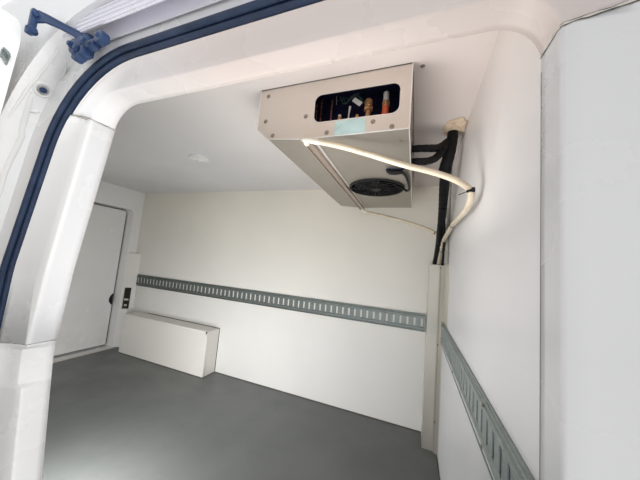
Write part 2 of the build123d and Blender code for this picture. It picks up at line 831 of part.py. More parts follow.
with BuildPart() as evaporator_fan_motor:
    with Locations((fan_x, fan_y, motor_low_z + motor_height / 2)):
        Cylinder(motor_radius, motor_height)
    with BuildSketch(Plane.XY.offset(motor_low_z + motor_height)):
        with Locations((fan_x, fan_y)):
            Rectangle(motor_radius, motor_radius)
    extrude(amount=ceiling_z - motor_low_z - motor_height)


def fan_rotor(x, y, z):
    """Hub with flat pitched blades, its middle at the given place."""
    with Locations((x, y, z)):
        Cylinder(fan_hub_radius, rotor_depth)
        with PolarLocations((fan_radius + fan_hub_radius) / 2, blade_count):
            with Locations(Location((0, 0, 0), (blade_pitch, 0, 0))):
                Box(fan_radius - fan_hub_radius + blade_thickness, blade_chord, blade_thickness)


with BuildPart() as evaporator_fan:
    fan_rotor(fan_x, fan_y, rotor_z)

valve_y = inboard(evap_near - bay_depth) - evap_sheet
with BuildPart() as valve_group:
    block((back(window_x) - valve_length / 2, back(window_x) + valve_length / 2), (valve_y - valve_reach, valve_y),
          (below(window_drop) - valve_height / 2, below(window_drop) + valve_height / 2))
    for shift in (-valve_length, valve_length):
        with BuildSketch(Plane.XZ.offset(-valve_y)) as stub:
            with Locations((back(window_x) + shift, below(window_drop))):
                RegularPolygon(stub_radius, tube_side_count)
        extrude(stub.sketch, amount=valve_reach)


# Hoses and pipes. Each route is a list of places: behind the bulkhead lining, from the left lining, below the ceiling.
def tube(route, radius):
    """Hose along straight runs joined by tangent arcs, each as large as its shorter run allows."""
    places = [Vector(back(x), inboard(y), below(drop)) for x, y, drop in route]
    radii = []
    for before, here, after in zip(places, places[1:], places[2:]):
        turn = (here - before).get_angle(after - here)
        shorter = min((here - before).length, (after - here).length)
        radii.append(bend_share * shorter / tan(radians(turn / 2)))
    with BuildLine() as path:
        FilletPolyline(*places, radius=radii)
    with BuildSketch(path.wire() ^ 0) as section:
        RegularPolygon(radius, tube_side_count)
    sweep(section.sketch, path=path.wire())


near_route = (
    (574, 1289.5, 234),
    (574, 1301, 235),
    (560, 1309, 242),
    (530, 1306, 250),
    (486, 1290, 254),
    (425, 1262, 262),
    (340, 1228, 280),
    (252, 1196, 304),
    (122, 1168, 334),
    (60, 1185, 372),
    (30, 1216, 412),
    (30, 1136, 445),
    (30, 978, 442),
    (30, 750, 433),
    (31, 560, 452),
    (34, 400, 470),
    (36, 290, 520),
    (34, 150, 584),
    (34, 132, 640),
    (36, 130, 700),
)
far_route = (
    (574, 206.5, 234),
    (574, 195, 235),
    (560, 187, 242),
    (530, 190, 254),
    (480, 205, 266),
    (390, 240, 292),
    (296, 268, 320),
    (166, 296, 364),
    (84, 330, 402),
    (50, 342, 436),
    (38, 344, 480),
)
with BuildPart() as drain_hose_near:
    tube(near_route, hose_radius)

with BuildPart() as drain_hose_far:
    tube(far_route, hose_radius)

upper_pipe = ((221.5, 929, 126), (190, 929, 126), (150, 914, 122), (100, 860, 100), (72, 836, 60))
lower_pipe = ((221.5, 929, 186), (190, 929, 186), (155, 918, 184), (110, 876, 150), (74, 836, 70))
pipe_bundle = ((50, 830, 10.5), (50, 830, 40), (60, 822, 110), (70, 808, 155), (80, 780, 205))
corner_pipe = ((72, 806, 170), (84, 752, 215), (88, 660, 286), (82, 560, 354), (72, 450, 430), (64, 330, 500),
               (60, 190, 560), (60, 110, 610), (60, 98, 700))
with BuildPart() as insulated_pipes:
    tube(pipe_bundle, bundle_radius)
    tube(upper_pipe, pipe_radius)
    tube(lower_pipe, pipe_radius)
    tube(corner_pipe, pipe_radius)

with BuildPart() as corner_conduit:
    with BuildSketch(Plane.XY.offset(above(duct_height))):
        with Locations((back(conduit_radius), inboard(conduit_inboard))):
            RegularPolygon(conduit_radius, tube_side_count)
    extrude(amount=ceiling_z - above(duct_height))

# Ceiling lamp and the foam round the pipes
with BuildPart() as ceiling_lamp:
    with Locations((back(lamp_back), inboard(lamp_inboard), ceiling_z - lamp_drop / 2)):
        Cylinder(lamp_radius, lamp_drop)
    chamfer(ceiling_lamp.faces().sort_by(Axis.Z)[0].edges(), length=lamp_drop / 2)

with BuildPart() as roof_gland:
    block((back(gland_back + gland_length / 2), back(gland_back - gland_length / 2)),
          (inboard(gland_inboard + gland_width / 2), inboard(gland_inboard - gland_width / 2)),
          (ceiling_z - gland_drop, ceiling_z))

# Covers of the rear corner posts, with the pocket that takes a door catch
cover_run = (post_width ** 2 + cover_reach ** 2) ** 0.5
with BuildPart() as corner_post_covers:
    for side in (-1, 1):
        with BuildSketch(Plane.XY.offset(floor_z)) as cover:
            with BuildLine() as outline:
                Polyline(
                    (rear_x, side * left_y),
                    (rear_x, side * doorway_half),
                    (rear_x + cover_reach, side * left_y),
                    close=True,
                )
            make_face(outline.edges())
        extrude(cover.sketch, amount=cover_height)
        slope = Vector(cover_reach, side * post_width, 0).normalized()
        across = Vector(slope.Y, -slope.X, 0) * side
        pocket_middle = (pocket_start + pocket_end) / 2 * cover_run
        centre = Vector(rear_x, side * doorway_half, above((pocket_low + pocket_high) / 2)) + slope * pocket_middle
        pocket_plane = Plane(origin=centre, x_dir=slope, z_dir=across)
        with Locations(pocket_plane):
            Box((pocket_end - pocket_start) * cover_run, pocket_high - pocket_low, 2 * pocket_depth,
                mode=Mode.SUBTRACT)

# Rear doors
leaf_face_x = frame_x - door_gap
leaf_back_x = leaf_face_x - door_skin
hinge_x = frame_x - hinge_axis_back
hinge_y = half_outer + hinge_axis_out
plug_edge = doorway_half - plug_clearance


def door_leaf(side):
    """One rear leaf with its plug; side is 1 for left."""
    with BuildSketch(Plane.YZ.offset(leaf_back_x)) as panel:
        body_section(grow=-door_margin)
        with Locations((side * (leaf_split / 2 + half_outer), (leaf_bottom + leaf_top) / 2)):
            Rectangle(2 * half_outer, leaf_top - leaf_bottom, mode=Mode.INTERSECT)
    extrude(panel.sketch, amount=door_skin)
    block((leaf_face_x, frame_x + door_plug), (side * leaf_split / 2, side * plug_edge),
          (above(plug_clearance), above(doorway_height - plug_clearance)))
    block((leaf_back_x, leaf_face_x), (side * (half_outer - lamp_width - lamp_gap), side * 2 * half_outer),
          (above(lamp_low) - lamp_gap, above(lamp_high) + lamp_gap), mode=Mode.SUBTRACT)
    blank_inner = leaf_split / 2 + window_blank_inner
    blank_outer = half_outer - window_blank_side
    with BuildSketch(Plane.YZ.offset(leaf_back_x)) as blank:
        with Locations((side * (blank_inner + blank_outer) / 2, above((window_blank_low + window_blank_high) / 2))):
            RectangleRounded(blank_outer - blank_inner, window_blank_high - window_blank_low, window_blank_corner)
    extrude(blank.sketch, amount=panel_recess, mode=Mode.SUBTRACT)


with BuildPart() as rear_door_left:
    door_leaf(1)

with BuildPart() as rear_door_right:
    door_leaf(-1)

with BuildPart() as release_cup:
    with BuildSketch(Plane.YZ.offset(frame_x + door_plug)):
        with Locations((inboard(post_width + plug_clearance) + release_radius - release_reach,
                        above(release_height))):
            Circle(release_radius)
        with Locations((plug_edge - release_radius, above(release_height))):
            Rectangle(2 * release_radius, 2 * release_radius, mode=Mode.INTERSECT)
    extrude(amount=release_depth)

with BuildPart() as rear_door_handle:
    with BuildSketch(Plane.YZ.offset(leaf_back_x)):
        with Locations((-(leaf_split / 2 + handle_inset), above(handle_height))):
            RectangleRounded(handle_width, handle_length, handle_corner)
    extrude(amount=-handle_depth)

with BuildPart() as tail_lamps:
    for side in (-1, 1):
        block((frame_x - lamp_depth, frame_x), (side * (half_outer - lamp_width), side * (half_outer - lamp_inset)),
              (above(lamp_low), above(lamp_high)))

# Rear hinges: the frame half holds the pin, and the leaf half turns on it
knuckle_grip = knuckle_height / 2 - hinge_play
with BuildPart() as rear_hinge_brackets:
    for side in (-1, 1):
        for height in hinge_heights:
            for shift in (-knuckle_height, knuckle_height):
                with Locations((hinge_x, side * hinge_y, height + shift)):
                    Cylinder(knuckle_radius, 2 * knuckle_grip)
                block((hinge_x, frame_x), (side * (hinge_y - hinge_plate / 2), side * (hinge_y + hinge_plate / 2)),
                      (height + shift - knuckle_grip, height + shift + knuckle_grip))
                block((frame_x, frame_x + hinge_reach), (side * roof_edge_y, side * (hinge_y + hinge_plate / 2)),
                      (height + shift - knuckle_grip, height + shift + knuckle_grip))
            with Locations((hinge_x, side * hinge_y, height)):
                Cylinder(pin_radius, knuckle_height + 4 * hinge_play)
    with BuildSketch(Plane.YZ.offset(frame_x)):
        body_section()
    extrude(amount=rear_frame_depth, mode=Mode.SUBTRACT)


def hinge_strap(side):
    """Leaf halves of the hinges on one side."""
    strap_x = leaf_back_x - strap_sheet
    for height in hinge_heights:
        low = height - knuckle_grip
        high = height + knuckle_grip
        with Locations((hinge_x, side * hinge_y, height)):
            Cylinder(knuckle_radius, 2 * knuckle_grip)
        block((strap_x, hinge_x), (side * (hinge_y - strap_sheet), side * (hinge_y + strap_sheet)), (low, high))
        block((strap_x, leaf_back_x), (side * (half_outer - strap_reach), side * (hinge_y + strap_sheet)),
              (low, high))
        with Locations((hinge_x, side * hinge_y, height)):
            Cylinder(pin_radius + pin_clearance, 3 * knuckle_height, mode=Mode.SUBTRACT)


with BuildPart() as hinge_straps_left:
    hinge_strap(1)

with BuildPart() as hinge_straps_right:
    hinge_strap(-1)

# Roof condenser: a moulded shell that sits on the roof ribs, with a guarded hole over each fan
condenser_x = back(condenser_back)
condenser_top = crown_z + condenser_height
condenser_low = crown_z - condenser_sink
condenser_fan_z = condenser_top - fan_depth
hollow_chamfer = 0.8 * condenser_corner
with BuildPart() as condenser_housing:
    with BuildSketch(Plane.XY.offset(condenser_low)):
        with Locations((condenser_x, 0)):
            RectangleRounded(condenser_length, condenser_width, condenser_corner)
    extrude(amount=condenser_top - condenser_low)
    chamfer(condenser_housing.faces().sort_by(Axis.Z)[-1].edges(), length=condenser_chamfer)
    with BuildSketch(Plane.XY.offset(condenser_low)):
        with Locations((condenser_x, 0)):
            hollow_floor = Rectangle(condenser_length - 2 * condenser_shell, condenser_width - 2 * condenser_shell)
        chamfer(hollow_floor.vertices(), length=hollow_chamfer)
    extrude(amount=condenser_top - condenser_low - condenser_chamfer, mode=Mode.SUBTRACT)
    inner_inset = condenser_shell + condenser_chamfer
    with BuildSketch(Plane.XY.offset(condenser_top - condenser_chamfer)):
        with Locations((condenser_x, 0)):
            hollow_top = Rectangle(condenser_length - 2 * inner_inset, condenser_width - 2 * inner_inset)
        chamfer(hollow_top.vertices(), length=hollow_chamfer)
    extrude(amount=condenser_chamfer - condenser_shell, mode=Mode.SUBTRACT)
    with Locations((condenser_x, condenser_fan_offset, condenser_top),
                   (condenser_x, -condenser_fan_offset, condenser_top)):
        Cylinder(fan_ring_radius, 2 * condenser_chamfer, mode=Mode.SUBTRACT)
    for side in (-1, 1):
        with Locations((condenser_x, side * condenser_fan_offset, condenser_top - condenser_guard_bar / 2)):
            with PolarLocations(0, 2, start_angle=45, angular_range=180):
                Box(2 * fan_ring_radius + condenser_shell, condenser_guard_bar, condenser_guard_bar)
    for index in range(louvre_count):
        louvre_z = crown_z + louvre_low + index * louvre_pitch
        block((condenser_x, condenser_x + condenser_length),
              (condenser_corner - condenser_width / 2, condenser_width / 2 - condenser_corner),
              (louvre_z, louvre_z + louvre_height), mode=Mode.SUBTRACT)
    with BuildSketch(Plane.YZ.offset(condenser_x - condenser_length)):
        body_section(grow=rib_height)
    extrude(amount=2 * condenser_length, mode=Mode.SUBTRACT)

motor_top_z = condenser_fan_z - rotor_depth / 2 - hinge_play
with BuildPart() as condenser_fan_mounts:
    for side in (-1, 1):
        with BuildSketch(Plane.XY.offset(condenser_low)) as foot:
            with Locations((condenser_x, side * condenser_fan_offset)):
                RegularPolygon(mount_radius, tube_side_count)
        extrude(foot.sketch, amount=motor_top_z - condenser_low)
    with BuildSketch(Plane.YZ.offset(condenser_x - condenser_length)) as roof_shape:
        body_section(grow=rib_height)
    extrude(roof_shape.sketch, amount=2 * condenser_length, mode=Mode.SUBTRACT)

with BuildPart() as condenser_fan_left:
    fan_rotor(condenser_x, condenser_fan_offset, condenser_fan_z)

with BuildPart() as condenser_fan_right:
    fan_rotor(condenser_x, -condenser_fan_offset, condenser_fan_z)

pieces = {
    "underframe": underframe,
    "cross_members": cross_members,
    "rear_bumper": rear_bumper,
    "floor_panel": floor_panel,
    "floor_covering": floor_covering,
    "wheel_box_left": wheel_box_left,
    "wheel_box_right": wheel_box_right,
    "left_wall": left_wall,
    "right_wall": right_wall,
    "roof_panel": roof_panel,
    "bulkhead": bulkhead,
    "rear_frame": rear_frame,
    "door_frame_header": door_frame_header,
    "door_frame_rear_post": door_frame_rear_post,
    "door_frame_rear_foot": door_frame_rear_foot,
    "door_frame_front_post": door_frame_front_post,
    "door_sill": door_sill,
    "side_door_seal": side_door_seal,
    "upper_track": upper_track,
    "waist_track": waist_track,
    "sliding_door": sliding_door,
    "sliding_door_lining": sliding_door_lining,
    "sliding_door_arm": sliding_door_arm,
    "lashing_rail_left": lashing_rail_left,
    "lashing_rail_right": lashing_rail_right,
    "lashing_rail_bulkhead": lashing_rail_bulkhead,
    "corner_duct": corner_duct,
    "evaporator_housing": evaporator_housing,
    "evaporator_end_plate": evaporator_end_plate,
    "evaporator_far_plate": evaporator_far_plate,
    "evaporator_coil": evaporator_coil,
    "evaporator_fan_ring": evaporator_fan_ring,
    "evaporator_fan_motor": evaporator_fan_motor,
    "evaporator_fan": evaporator_fan,
    "valve_group": valve_group,
    "drain_channel": drain_channel,
    "drain_hose_near": drain_hose_near,
    "drain_hose_far": drain_hose_far,
    "insulated_pipes": insulated_pipes,
    "corner_conduit": corner_conduit,
    "ceiling_lamp": ceiling_lamp,
    "roof_gland": roof_gland,
    "corner_post_covers": corner_post_covers,
    "rear_door_left": rear_door_left,
    "rear_door_right": rear_door_right,
    "rear_door_handle": rear_door_handle,
    "release_cup": release_cup,
    "tail_lamps": tail_lamps,
    "rear_hinge_brackets": rear_hinge_brackets,
    "hinge_straps_left": hinge_straps_left,
    "hinge_straps_right": hinge_straps_right,
    "condenser_housing": condenser_housing,
    "condenser_fan_mounts": condenser_fan_mounts,
    "condenser_fan_left": condenser_fan_left,
    "condenser_fan_right": condenser_fan_right,
}

os.makedirs("parts", exist_ok=True)
for name, piece in pieces.items():
    piece.part.label = name
    export_step(piece.part, f"parts/{name}.step")
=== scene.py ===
import random
from math import cos, pi, radians, sin, tan

import bmesh
import bpy
from mathutils import Matrix, Vector
from mathutils.bvhtree import BVHTree


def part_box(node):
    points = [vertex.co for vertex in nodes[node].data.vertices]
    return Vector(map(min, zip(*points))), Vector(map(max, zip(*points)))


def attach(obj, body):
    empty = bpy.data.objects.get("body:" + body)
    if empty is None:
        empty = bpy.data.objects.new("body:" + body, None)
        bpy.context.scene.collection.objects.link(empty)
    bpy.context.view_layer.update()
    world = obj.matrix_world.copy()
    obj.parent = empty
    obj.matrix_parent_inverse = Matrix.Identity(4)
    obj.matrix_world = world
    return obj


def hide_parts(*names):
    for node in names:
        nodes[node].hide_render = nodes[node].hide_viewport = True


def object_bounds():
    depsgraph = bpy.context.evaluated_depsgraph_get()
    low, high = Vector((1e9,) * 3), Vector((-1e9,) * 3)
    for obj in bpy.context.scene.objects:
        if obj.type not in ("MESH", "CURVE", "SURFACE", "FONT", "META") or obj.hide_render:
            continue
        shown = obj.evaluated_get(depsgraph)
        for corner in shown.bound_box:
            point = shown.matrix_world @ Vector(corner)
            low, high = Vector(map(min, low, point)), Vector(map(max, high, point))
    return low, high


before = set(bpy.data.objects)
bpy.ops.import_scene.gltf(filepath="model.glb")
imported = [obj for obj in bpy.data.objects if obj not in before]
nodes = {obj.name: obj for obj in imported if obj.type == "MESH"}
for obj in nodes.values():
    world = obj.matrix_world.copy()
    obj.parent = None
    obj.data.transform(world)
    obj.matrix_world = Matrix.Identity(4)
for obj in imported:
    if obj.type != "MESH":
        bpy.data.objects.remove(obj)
cad_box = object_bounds()


def vec(x, y, z):
    return Vector((x, y, z))


# Places in the load space, in metres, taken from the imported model
front_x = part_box("bulkhead")[0].x
rear_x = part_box("floor_covering")[0].x
left_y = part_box("left_wall")[0].y
floor_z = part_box("floor_covering")[1].z
ceiling_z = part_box("bulkhead")[1].z
evap_low, evap_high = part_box("evaporator_housing")
low_drop = ceiling_z - evap_low.z
plate_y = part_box("evaporator_end_plate")[0].y
fan_centre = vec(front_x - 0.405, left_y - 0.690, evap_low.z)
fan_ring_radius = 0.145
upward, downward = (0, 0, 1), (0, 0, -1)


def place(back, inboard, above):
    """A point behind the bulkhead lining, inboard of the left lining and above the floor."""
    return vec(front_x - back, left_y - inboard, floor_z + above)


def hang(back, inboard, drop):
    """A point behind the bulkhead lining, inboard of the left lining and below the ceiling."""
    return vec(front_x - back, left_y - inboard, ceiling_z - drop)


def on_plate(back, drop, lift=0.0):
    """A point on the evaporator's end plate, or lifted off it."""
    return vec(front_x - back, plate_y - lift, ceiling_z - drop)


def link(name, data):
    """Adds an object with this data to the scene."""
    obj = bpy.data.objects.new(name, data)
    bpy.context.scene.collection.objects.link(obj)
    return obj


# Camera at the photograph's viewpoint
camera_place = vec(1.459, -1.2538, 1.2735)
camera_yaw, camera_pitch, camera_roll = radians(20.754), radians(5.477), radians(4.964)
camera_lens = 14.309


def add_camera():
    ahead = vec(-sin(camera_yaw) * cos(camera_pitch), cos(camera_yaw) * cos(camera_pitch), sin(camera_pitch))
    level = vec(cos(camera_yaw), sin(camera_yaw), 0)
    upright = level.cross(ahead)
    right = level * cos(camera_roll) + upright * sin(camera_roll)
    up = upright * cos(camera_roll) - level * sin(camera_roll)
    data = bpy.data.cameras.new("camera")
    data.sensor_width = 36
    data.lens = camera_lens
    data.clip_start = 0.01
    camera = link("camera", data)
    camera.matrix_world = Matrix.Translation(camera_place) @ Matrix((right, up, -ahead)).transposed().to_4x4()
    bpy.context.scene.camera = camera


def add_lamp(name, spot, aim, size, power, colour=(1, 1, 1)):
    data = bpy.data.lights.new(name, "AREA")
    data.shape = "SQUARE"
    data.size = size
    data.energy = power
    data.color = colour
    lamp = link(name, data)
    lamp.location = spot
    lamp.rotation_euler = (Vector(aim) - Vector(spot)).to_track_quat("-Z", "Y").to_euler()
    lamp.visible_camera = False
    lamp.visible_glossy = False


add_camera()
add_lamp("doorway_lamp", (1.6, -4.2, 1.9), (0.9, 0.2, 1.0), 4.0, 20)
add_lamp("sky_lamp", (4.6, -1.9, 2.7), (-0.3, -0.3, 0.7), 1.3, 104)
add_lamp("rear_lamp", (-4.2, 2.6, 3.4), (-0.5, 0.2, 1.2), 3.0, 45)
add_lamp("top_lamp", (0.5, -0.6, 5.5), (0, 0, 1), 3.5, 28)
add_lamp("low_lamp", (1.1, -3.0, 0.3), (1.0, -0.5, 1.6), 2.0, 5, (1.0, 0.90, 0.85))
add_lamp("room_lamp", (0.15, -0.70, 0.40), (0.17, 0.80, 0.16), 0.5, 18)
add_lamp("rear_room_lamp", (0.20, -0.45, 1.25), (-1.2, 0.50, 0.05), 0.5, 2)
add_lamp("front_lamp", (0.98, -0.60, 0.90), (1.05, -0.2, 1.95), 0.5, 5, (1.0, 0.96, 0.93))
add_lamp("corner_lamp", (1.22, -0.40, 1.38), (1.22, -0.38, 1.95), 0.4, 2.6, (1.0, 0.96, 0.93))

# World: even pale light, and plain white where the camera looks past the object
world = bpy.data.worlds.new("world")
bpy.context.scene.world = world
world.use_nodes = True
w = world.node_tree
w.nodes.clear()
w_out, w_mix, w_light, w_back, w_path, w_any, w_all = [
    w.nodes.new("ShaderNode" + kind)
    for kind in ("OutputWorld", "MixShader", "Background", "Background", "LightPath", "Math", "Math")]
w_any.operation = w_all.operation = "MAXIMUM"
for background, colour, strength in ((w_light, (0.95, 0.97, 1.0, 1), 0.60), (w_back, (1, 1, 1, 1), 1.0)):
    background.inputs["Color"].default_value = colour
    background.inputs["Strength"].default_value = strength
for output, socket in (
        (w_path.outputs["Is Camera Ray"], w_any.inputs[0]), (w_path.outputs["Is Glossy Ray"], w_any.inputs[1]),
        (w_any.outputs[0], w_all.inputs[0]), (w_path.outputs["Is Transmission Ray"], w_all.inputs[1]),
        (w_all.outputs[0], w_mix.inputs[0]), (w_light.outputs[0], w_mix.inputs[1]),
        (w_back.outputs[0], w_mix.inputs[2]), (w_mix.outputs[0], w_out.inputs[0])):
    w.links.new(output, socket)
bpy.context.scene.view_settings.view_transform = "Standard"


# Materials
class Shader:
    """A principled material whose nodes are added one by one."""

    def __init__(self, name):
        self.material = bpy.data.materials.new(name)
        self.material.use_nodes = True
        self.tree = self.material.node_tree
        self.surface = self.tree.nodes["Principled BSDF"]
        self.place = self.tree.nodes.new("ShaderNodeTexCoord").outputs["Object"]

    def feed(self, socket, value):
        """Links an output to a socket, or sets the socket to a number or a colour."""
        if isinstance(value, tuple):
            socket.default_value = (*value, 1)
        elif isinstance(value, (int, float)):
            socket.default_value = value
        else:
            self.tree.links.new(value, socket)

    def add(self, kind, feeds, **values):
        """Adds a node, sets its attributes and sockets, and feeds its named or numbered inputs."""
        node = self.tree.nodes.new("ShaderNode" + kind)
        for key, value in values.items():
            if hasattr(node, key):
                setattr(node, key, value)
            else:
                node.inputs[key.replace("_", " ")].default_value = value
        for key, value in feeds.items():
            self.feed(node.inputs[key], value)
        return node

    def noise(self, scale, detail=4, roughness=0.5, stretch=None):
        """Noise over the object's own coordinates, which may be stretched."""
        vector = self.add("Mapping", {"Vector": self.place}, Scale=stretch).outputs["Vector"] if stretch else self.place
        return self.add("TexNoise", {"Vector": vector}, Scale=scale, Detail=detail, Roughness=roughness).outputs["Fac"]

    def cells(self, scale, output):
        return self.add("TexVoronoi", {"Vector": self.place}, Scale=scale).outputs[output]

    def spread(self, value, low, high, to_low=0.0, to_high=1.0):
        """Maps a value from one range to another, clamped."""
        return self.add("MapRange", {"Value": value}, From_Min=low, From_Max=high, To_Min=to_low,
                        To_Max=to_high).outputs["Result"]

    def blend(self, factor, first, second, **values):
        """Mixes two colours, each a tuple or an output."""
        return self.add("Mix", {"Factor": factor, 6: first, 7: second}, data_type="RGBA", **values).outputs[2]

    def combine(self, operation, first, second=0.5):
        return self.add("Math", {0: first, 1: second}, operation=operation).outputs[0]

    def axis(self, letter, vector=None):
        """One coordinate of the point, in metres, or one part of a vector."""
        return self.add("SeparateXYZ", {"Vector": vector or self.place}).outputs[letter]

    def fade(self, letter, first, last):
        return self.spread(self.axis(letter), first, last)

    def mottle(self, value, low, high, colour, dark, light):
        """A colour that moves between a darker and a lighter tint of itself."""
        return self.blend(self.spread(value, low, high), tint(colour, dark), tint(colour, light))

    def scuffs(self, most):
        return self.spread(self.noise(9, 8, 0.72, (1, 1, 0.35)), 0.60, 0.78, 0, most)

    def gloss(self, rough, *noise):
        return self.spread(self.noise(*noise), 0.3, 0.7, *rough)

    def finish(self, tone, gloss, height, strength, distance, **values):
        """Feeds the colour, roughness and bump, sets other sockets of the surface and gives the material."""
        bump = self.add("Bump", {"Height": height}, Strength=strength, Distance=distance).outputs["Normal"]
        for name, output in (("Base Color", tone), ("Roughness", gloss), ("Normal", bump)):
            self.tree.links.new(output, self.surface.inputs[name])
        for key, value in values.items():
            self.surface.inputs[key.replace("_", " ")].default_value = value
        return self.material


def tint(colour, factor):
    return tuple(min(1.0, channel * factor) for channel in colour)


def gelcoat(name, colour, marks=0.14, rough=(0.28, 0.42), second=None, fade=("Z", 1.35, 1.9)):
    """Smooth moulded lining with slow tone changes, faint scuffs and a slight ripple; it can fade to a second tone."""
    s = Shader(name)
    tone = s.mottle(s.noise(1.3, 3), 0.35, 0.65, colour, 0.965, 1.02)
    if second:
        tone = s.blend(s.fade(*fade), tone, second)
    tone = s.blend(s.scuffs(marks), tone, tint(colour, 0.80))
    return s.finish(tone, s.gloss(rough, 6, 6), s.noise(14, 3), 0.10, 0.004)


def two_sided(name, first, second, fade, side, limit):
    """A panel that has the lining's finish inside, with a slow change of tone, and body paint outside a limit."""
    s = Shader(name)
    reach = s.axis(side)
    if side == "Y":
        reach = s.combine("ABSOLUTE", reach)
    outer = s.combine("GREATER_THAN", reach, limit)
    base = s.blend(outer, s.blend(s.fade(*fade), first, second), outer_white)
    shade = s.spread(s.noise(1.3, 3), 0.35, 0.65, 0.965, 1.02)
    grey = s.add("CombineColor", {"Red": shade, "Green": shade, "Blue": shade}).outputs[0]
    tone = s.blend(s.scuffs(0.16), s.blend(1, base, grey, blend_type="MULTIPLY"), tint(first, 0.8))
    gloss = s.combine("ADD", s.gloss((0.30, 0.42), 6, 6), s.spread(outer, 0, 1, 0, -0.12))
    return s.finish(tone, gloss, s.noise(14, 3), 0.10, 0.004)


def paint(name, colour):
    """Body paint with a clear coat, orange peel and a little road dust low down."""
    s = Shader(name)
    tone = s.mottle(s.noise(2.2), 0.35, 0.65, colour, 0.975, 1.01)
    low = s.spread(s.axis("Z"), 0.05, 0.75, 1, 0)
    dirt = s.combine("MULTIPLY", low, s.spread(s.noise(5, 7, 0.7), 0.42, 0.75, 0, 0.36))
    return s.finish(s.blend(dirt, tone, (0.42, 0.38, 0.32)), s.gloss((0.16, 0.28), 7, 5), s.noise(420, 2), 0.05, 0.0004,
                    Coat_Weight=0.35, Coat_Roughness=0.08)


def brushed(name, colour, grain, rough=(0.28, 0.36), stain=0.30):
    """Brushed sheet, with fine grain along one axis, smears and faint stains."""
    s = Shader(name)
    hair = s.noise(9, 6, 0.6, grain)
    tone = s.mottle(hair, 0.3, 0.7, colour, 0.98, 1.015)
    tone = s.blend(s.spread(s.noise(3.5, 6, 0.62), 0.50, 0.78, 0, stain), tone, tint(colour, 0.72))
    return s.finish(tone, s.gloss(rough, 6, 6, 0.6, grain), hair, 0.02, 0.0002, Metallic=0.75)


def galvanised(name, near, far, fade):
    """Zinc-plated pressed steel: fine spangle, dull white bloom, and painted shade that darkens it towards one end."""
    s = Shader(name)
    flake = s.spread(s.axis("X", s.cells(260, "Color")), 0, 1, 0.0, 0.35)
    light = s.blend(flake, s.blend(s.fade(*fade), far, near), tint(near, 1.35))
    bloom = s.spread(s.noise(24, 6, 0.65), 0.50, 0.74, 0, 0.45)
    return s.finish(s.blend(bloom, light, tint(near, 0.62)), s.gloss((0.34, 0.58), 40, 5), s.noise(180, 3), 0.12,
                    0.0005, Metallic=0.55)


def rubber(name, colour, rough, dust, shine=0.5):
    """Rubber or soft plastic with pale patches mixed in by noise: dust, and in the door rubber a painted sky
    reflection.
    """
    s = Shader(name)
    tone = s.mottle(s.noise(30), 0.3, 0.7, colour, 0.8, 1.25)
    return s.finish(s.blend(s.spread(s.noise(12, 7, 0.7), 0.52, 0.8, 0, 0.30), tone, dust), s.gloss(rough, 45),
                    s.noise(320, 3), 0.15, 0.0004, Specular_IOR_Level=shine)


def plastic(name, colour, rough=(0.30, 0.45), grain=260, shine=0.5):
    """Moulded plastic or plain paint with a fine grain."""
    s = Shader(name)
    return s.finish(s.mottle(s.noise(18), 0.3, 0.7, colour, 0.88, 1.10), s.gloss(rough, 30), s.noise(grain, 3),
                    0.10, 0.0004, Specular_IOR_Level=shine)


def metal(name, colour, rough=(0.20, 0.38), scale=70, shine=0.9):
    """Plain worn metal for small fittings."""
    s = Shader(name)
    return s.finish(s.mottle(s.noise(scale, 6, 0.65), 0.35, 0.70, colour, 0.72, 1.1), s.gloss(rough, scale * 1.5),
                    s.noise(scale * 4, 3), 0.10, 0.0003, Metallic=shine)


def floor_sheet(name):
    """Grey wet-room floor sheet: fine dark and pale specks, soft wear and foot marks."""
    s = Shader(name)
    tone = s.blend(s.spread(s.noise(1.6, 6, 0.62), 0.34, 0.66), (0.118, 0.128, 0.124), (0.158, 0.166, 0.160))
    tone = s.blend(s.spread(s.noise(520, 2), 0.58, 0.70, 0, 0.45), tone, (0.24, 0.25, 0.24))
    scratches = s.spread(s.noise(22, 9, 0.75, (0.35, 1, 1)), 0.62, 0.76, 0, 0.35)
    return s.finish(s.blend(scratches, tone, (0.075, 0.08, 0.078)), s.gloss((0.34, 0.52), 5, 6), s.noise(240), 0.25,
                    0.0006)


def foam_skin(name):
    """Cured expanding foam: tan blisters with browned tops."""
    s = Shader(name)
    tone = s.blend(s.spread(s.noise(60, 5), 0.35, 0.7), (0.78, 0.66, 0.52), (0.60, 0.45, 0.31))
    return s.finish(tone, s.gloss((0.55, 0.8), 60), s.cells(150, "Distance"), 0.6, 0.003, Subsurface_Weight=0.08,
                    Subsurface_Scale=0.01)


def lens(name, colour, rough=0.12, clear=0.25):
    """Lamp lens with moulded ribs."""
    s = Shader(name)
    ribs = s.add("TexWave", {"Vector": s.place}, Scale=55, bands_direction="Z").outputs["Fac"]
    return s.finish(s.mottle(s.noise(20, 3), 0.3, 0.7, colour, 0.85, 1.1), s.gloss((rough, rough + 0.08), 40, 3), ribs,
                    0.25, 0.0015, Coat_Weight=0.6, Transmission_Weight=clear)


frame_white = (0.81, 0.808, 0.80)
outer_white = (0.86, 0.862, 0.865)
satin = (0.20, 0.34)
across_grain, deep_grain, upright_grain = (4, 110, 110), (110, 4, 110), (110, 110, 4)

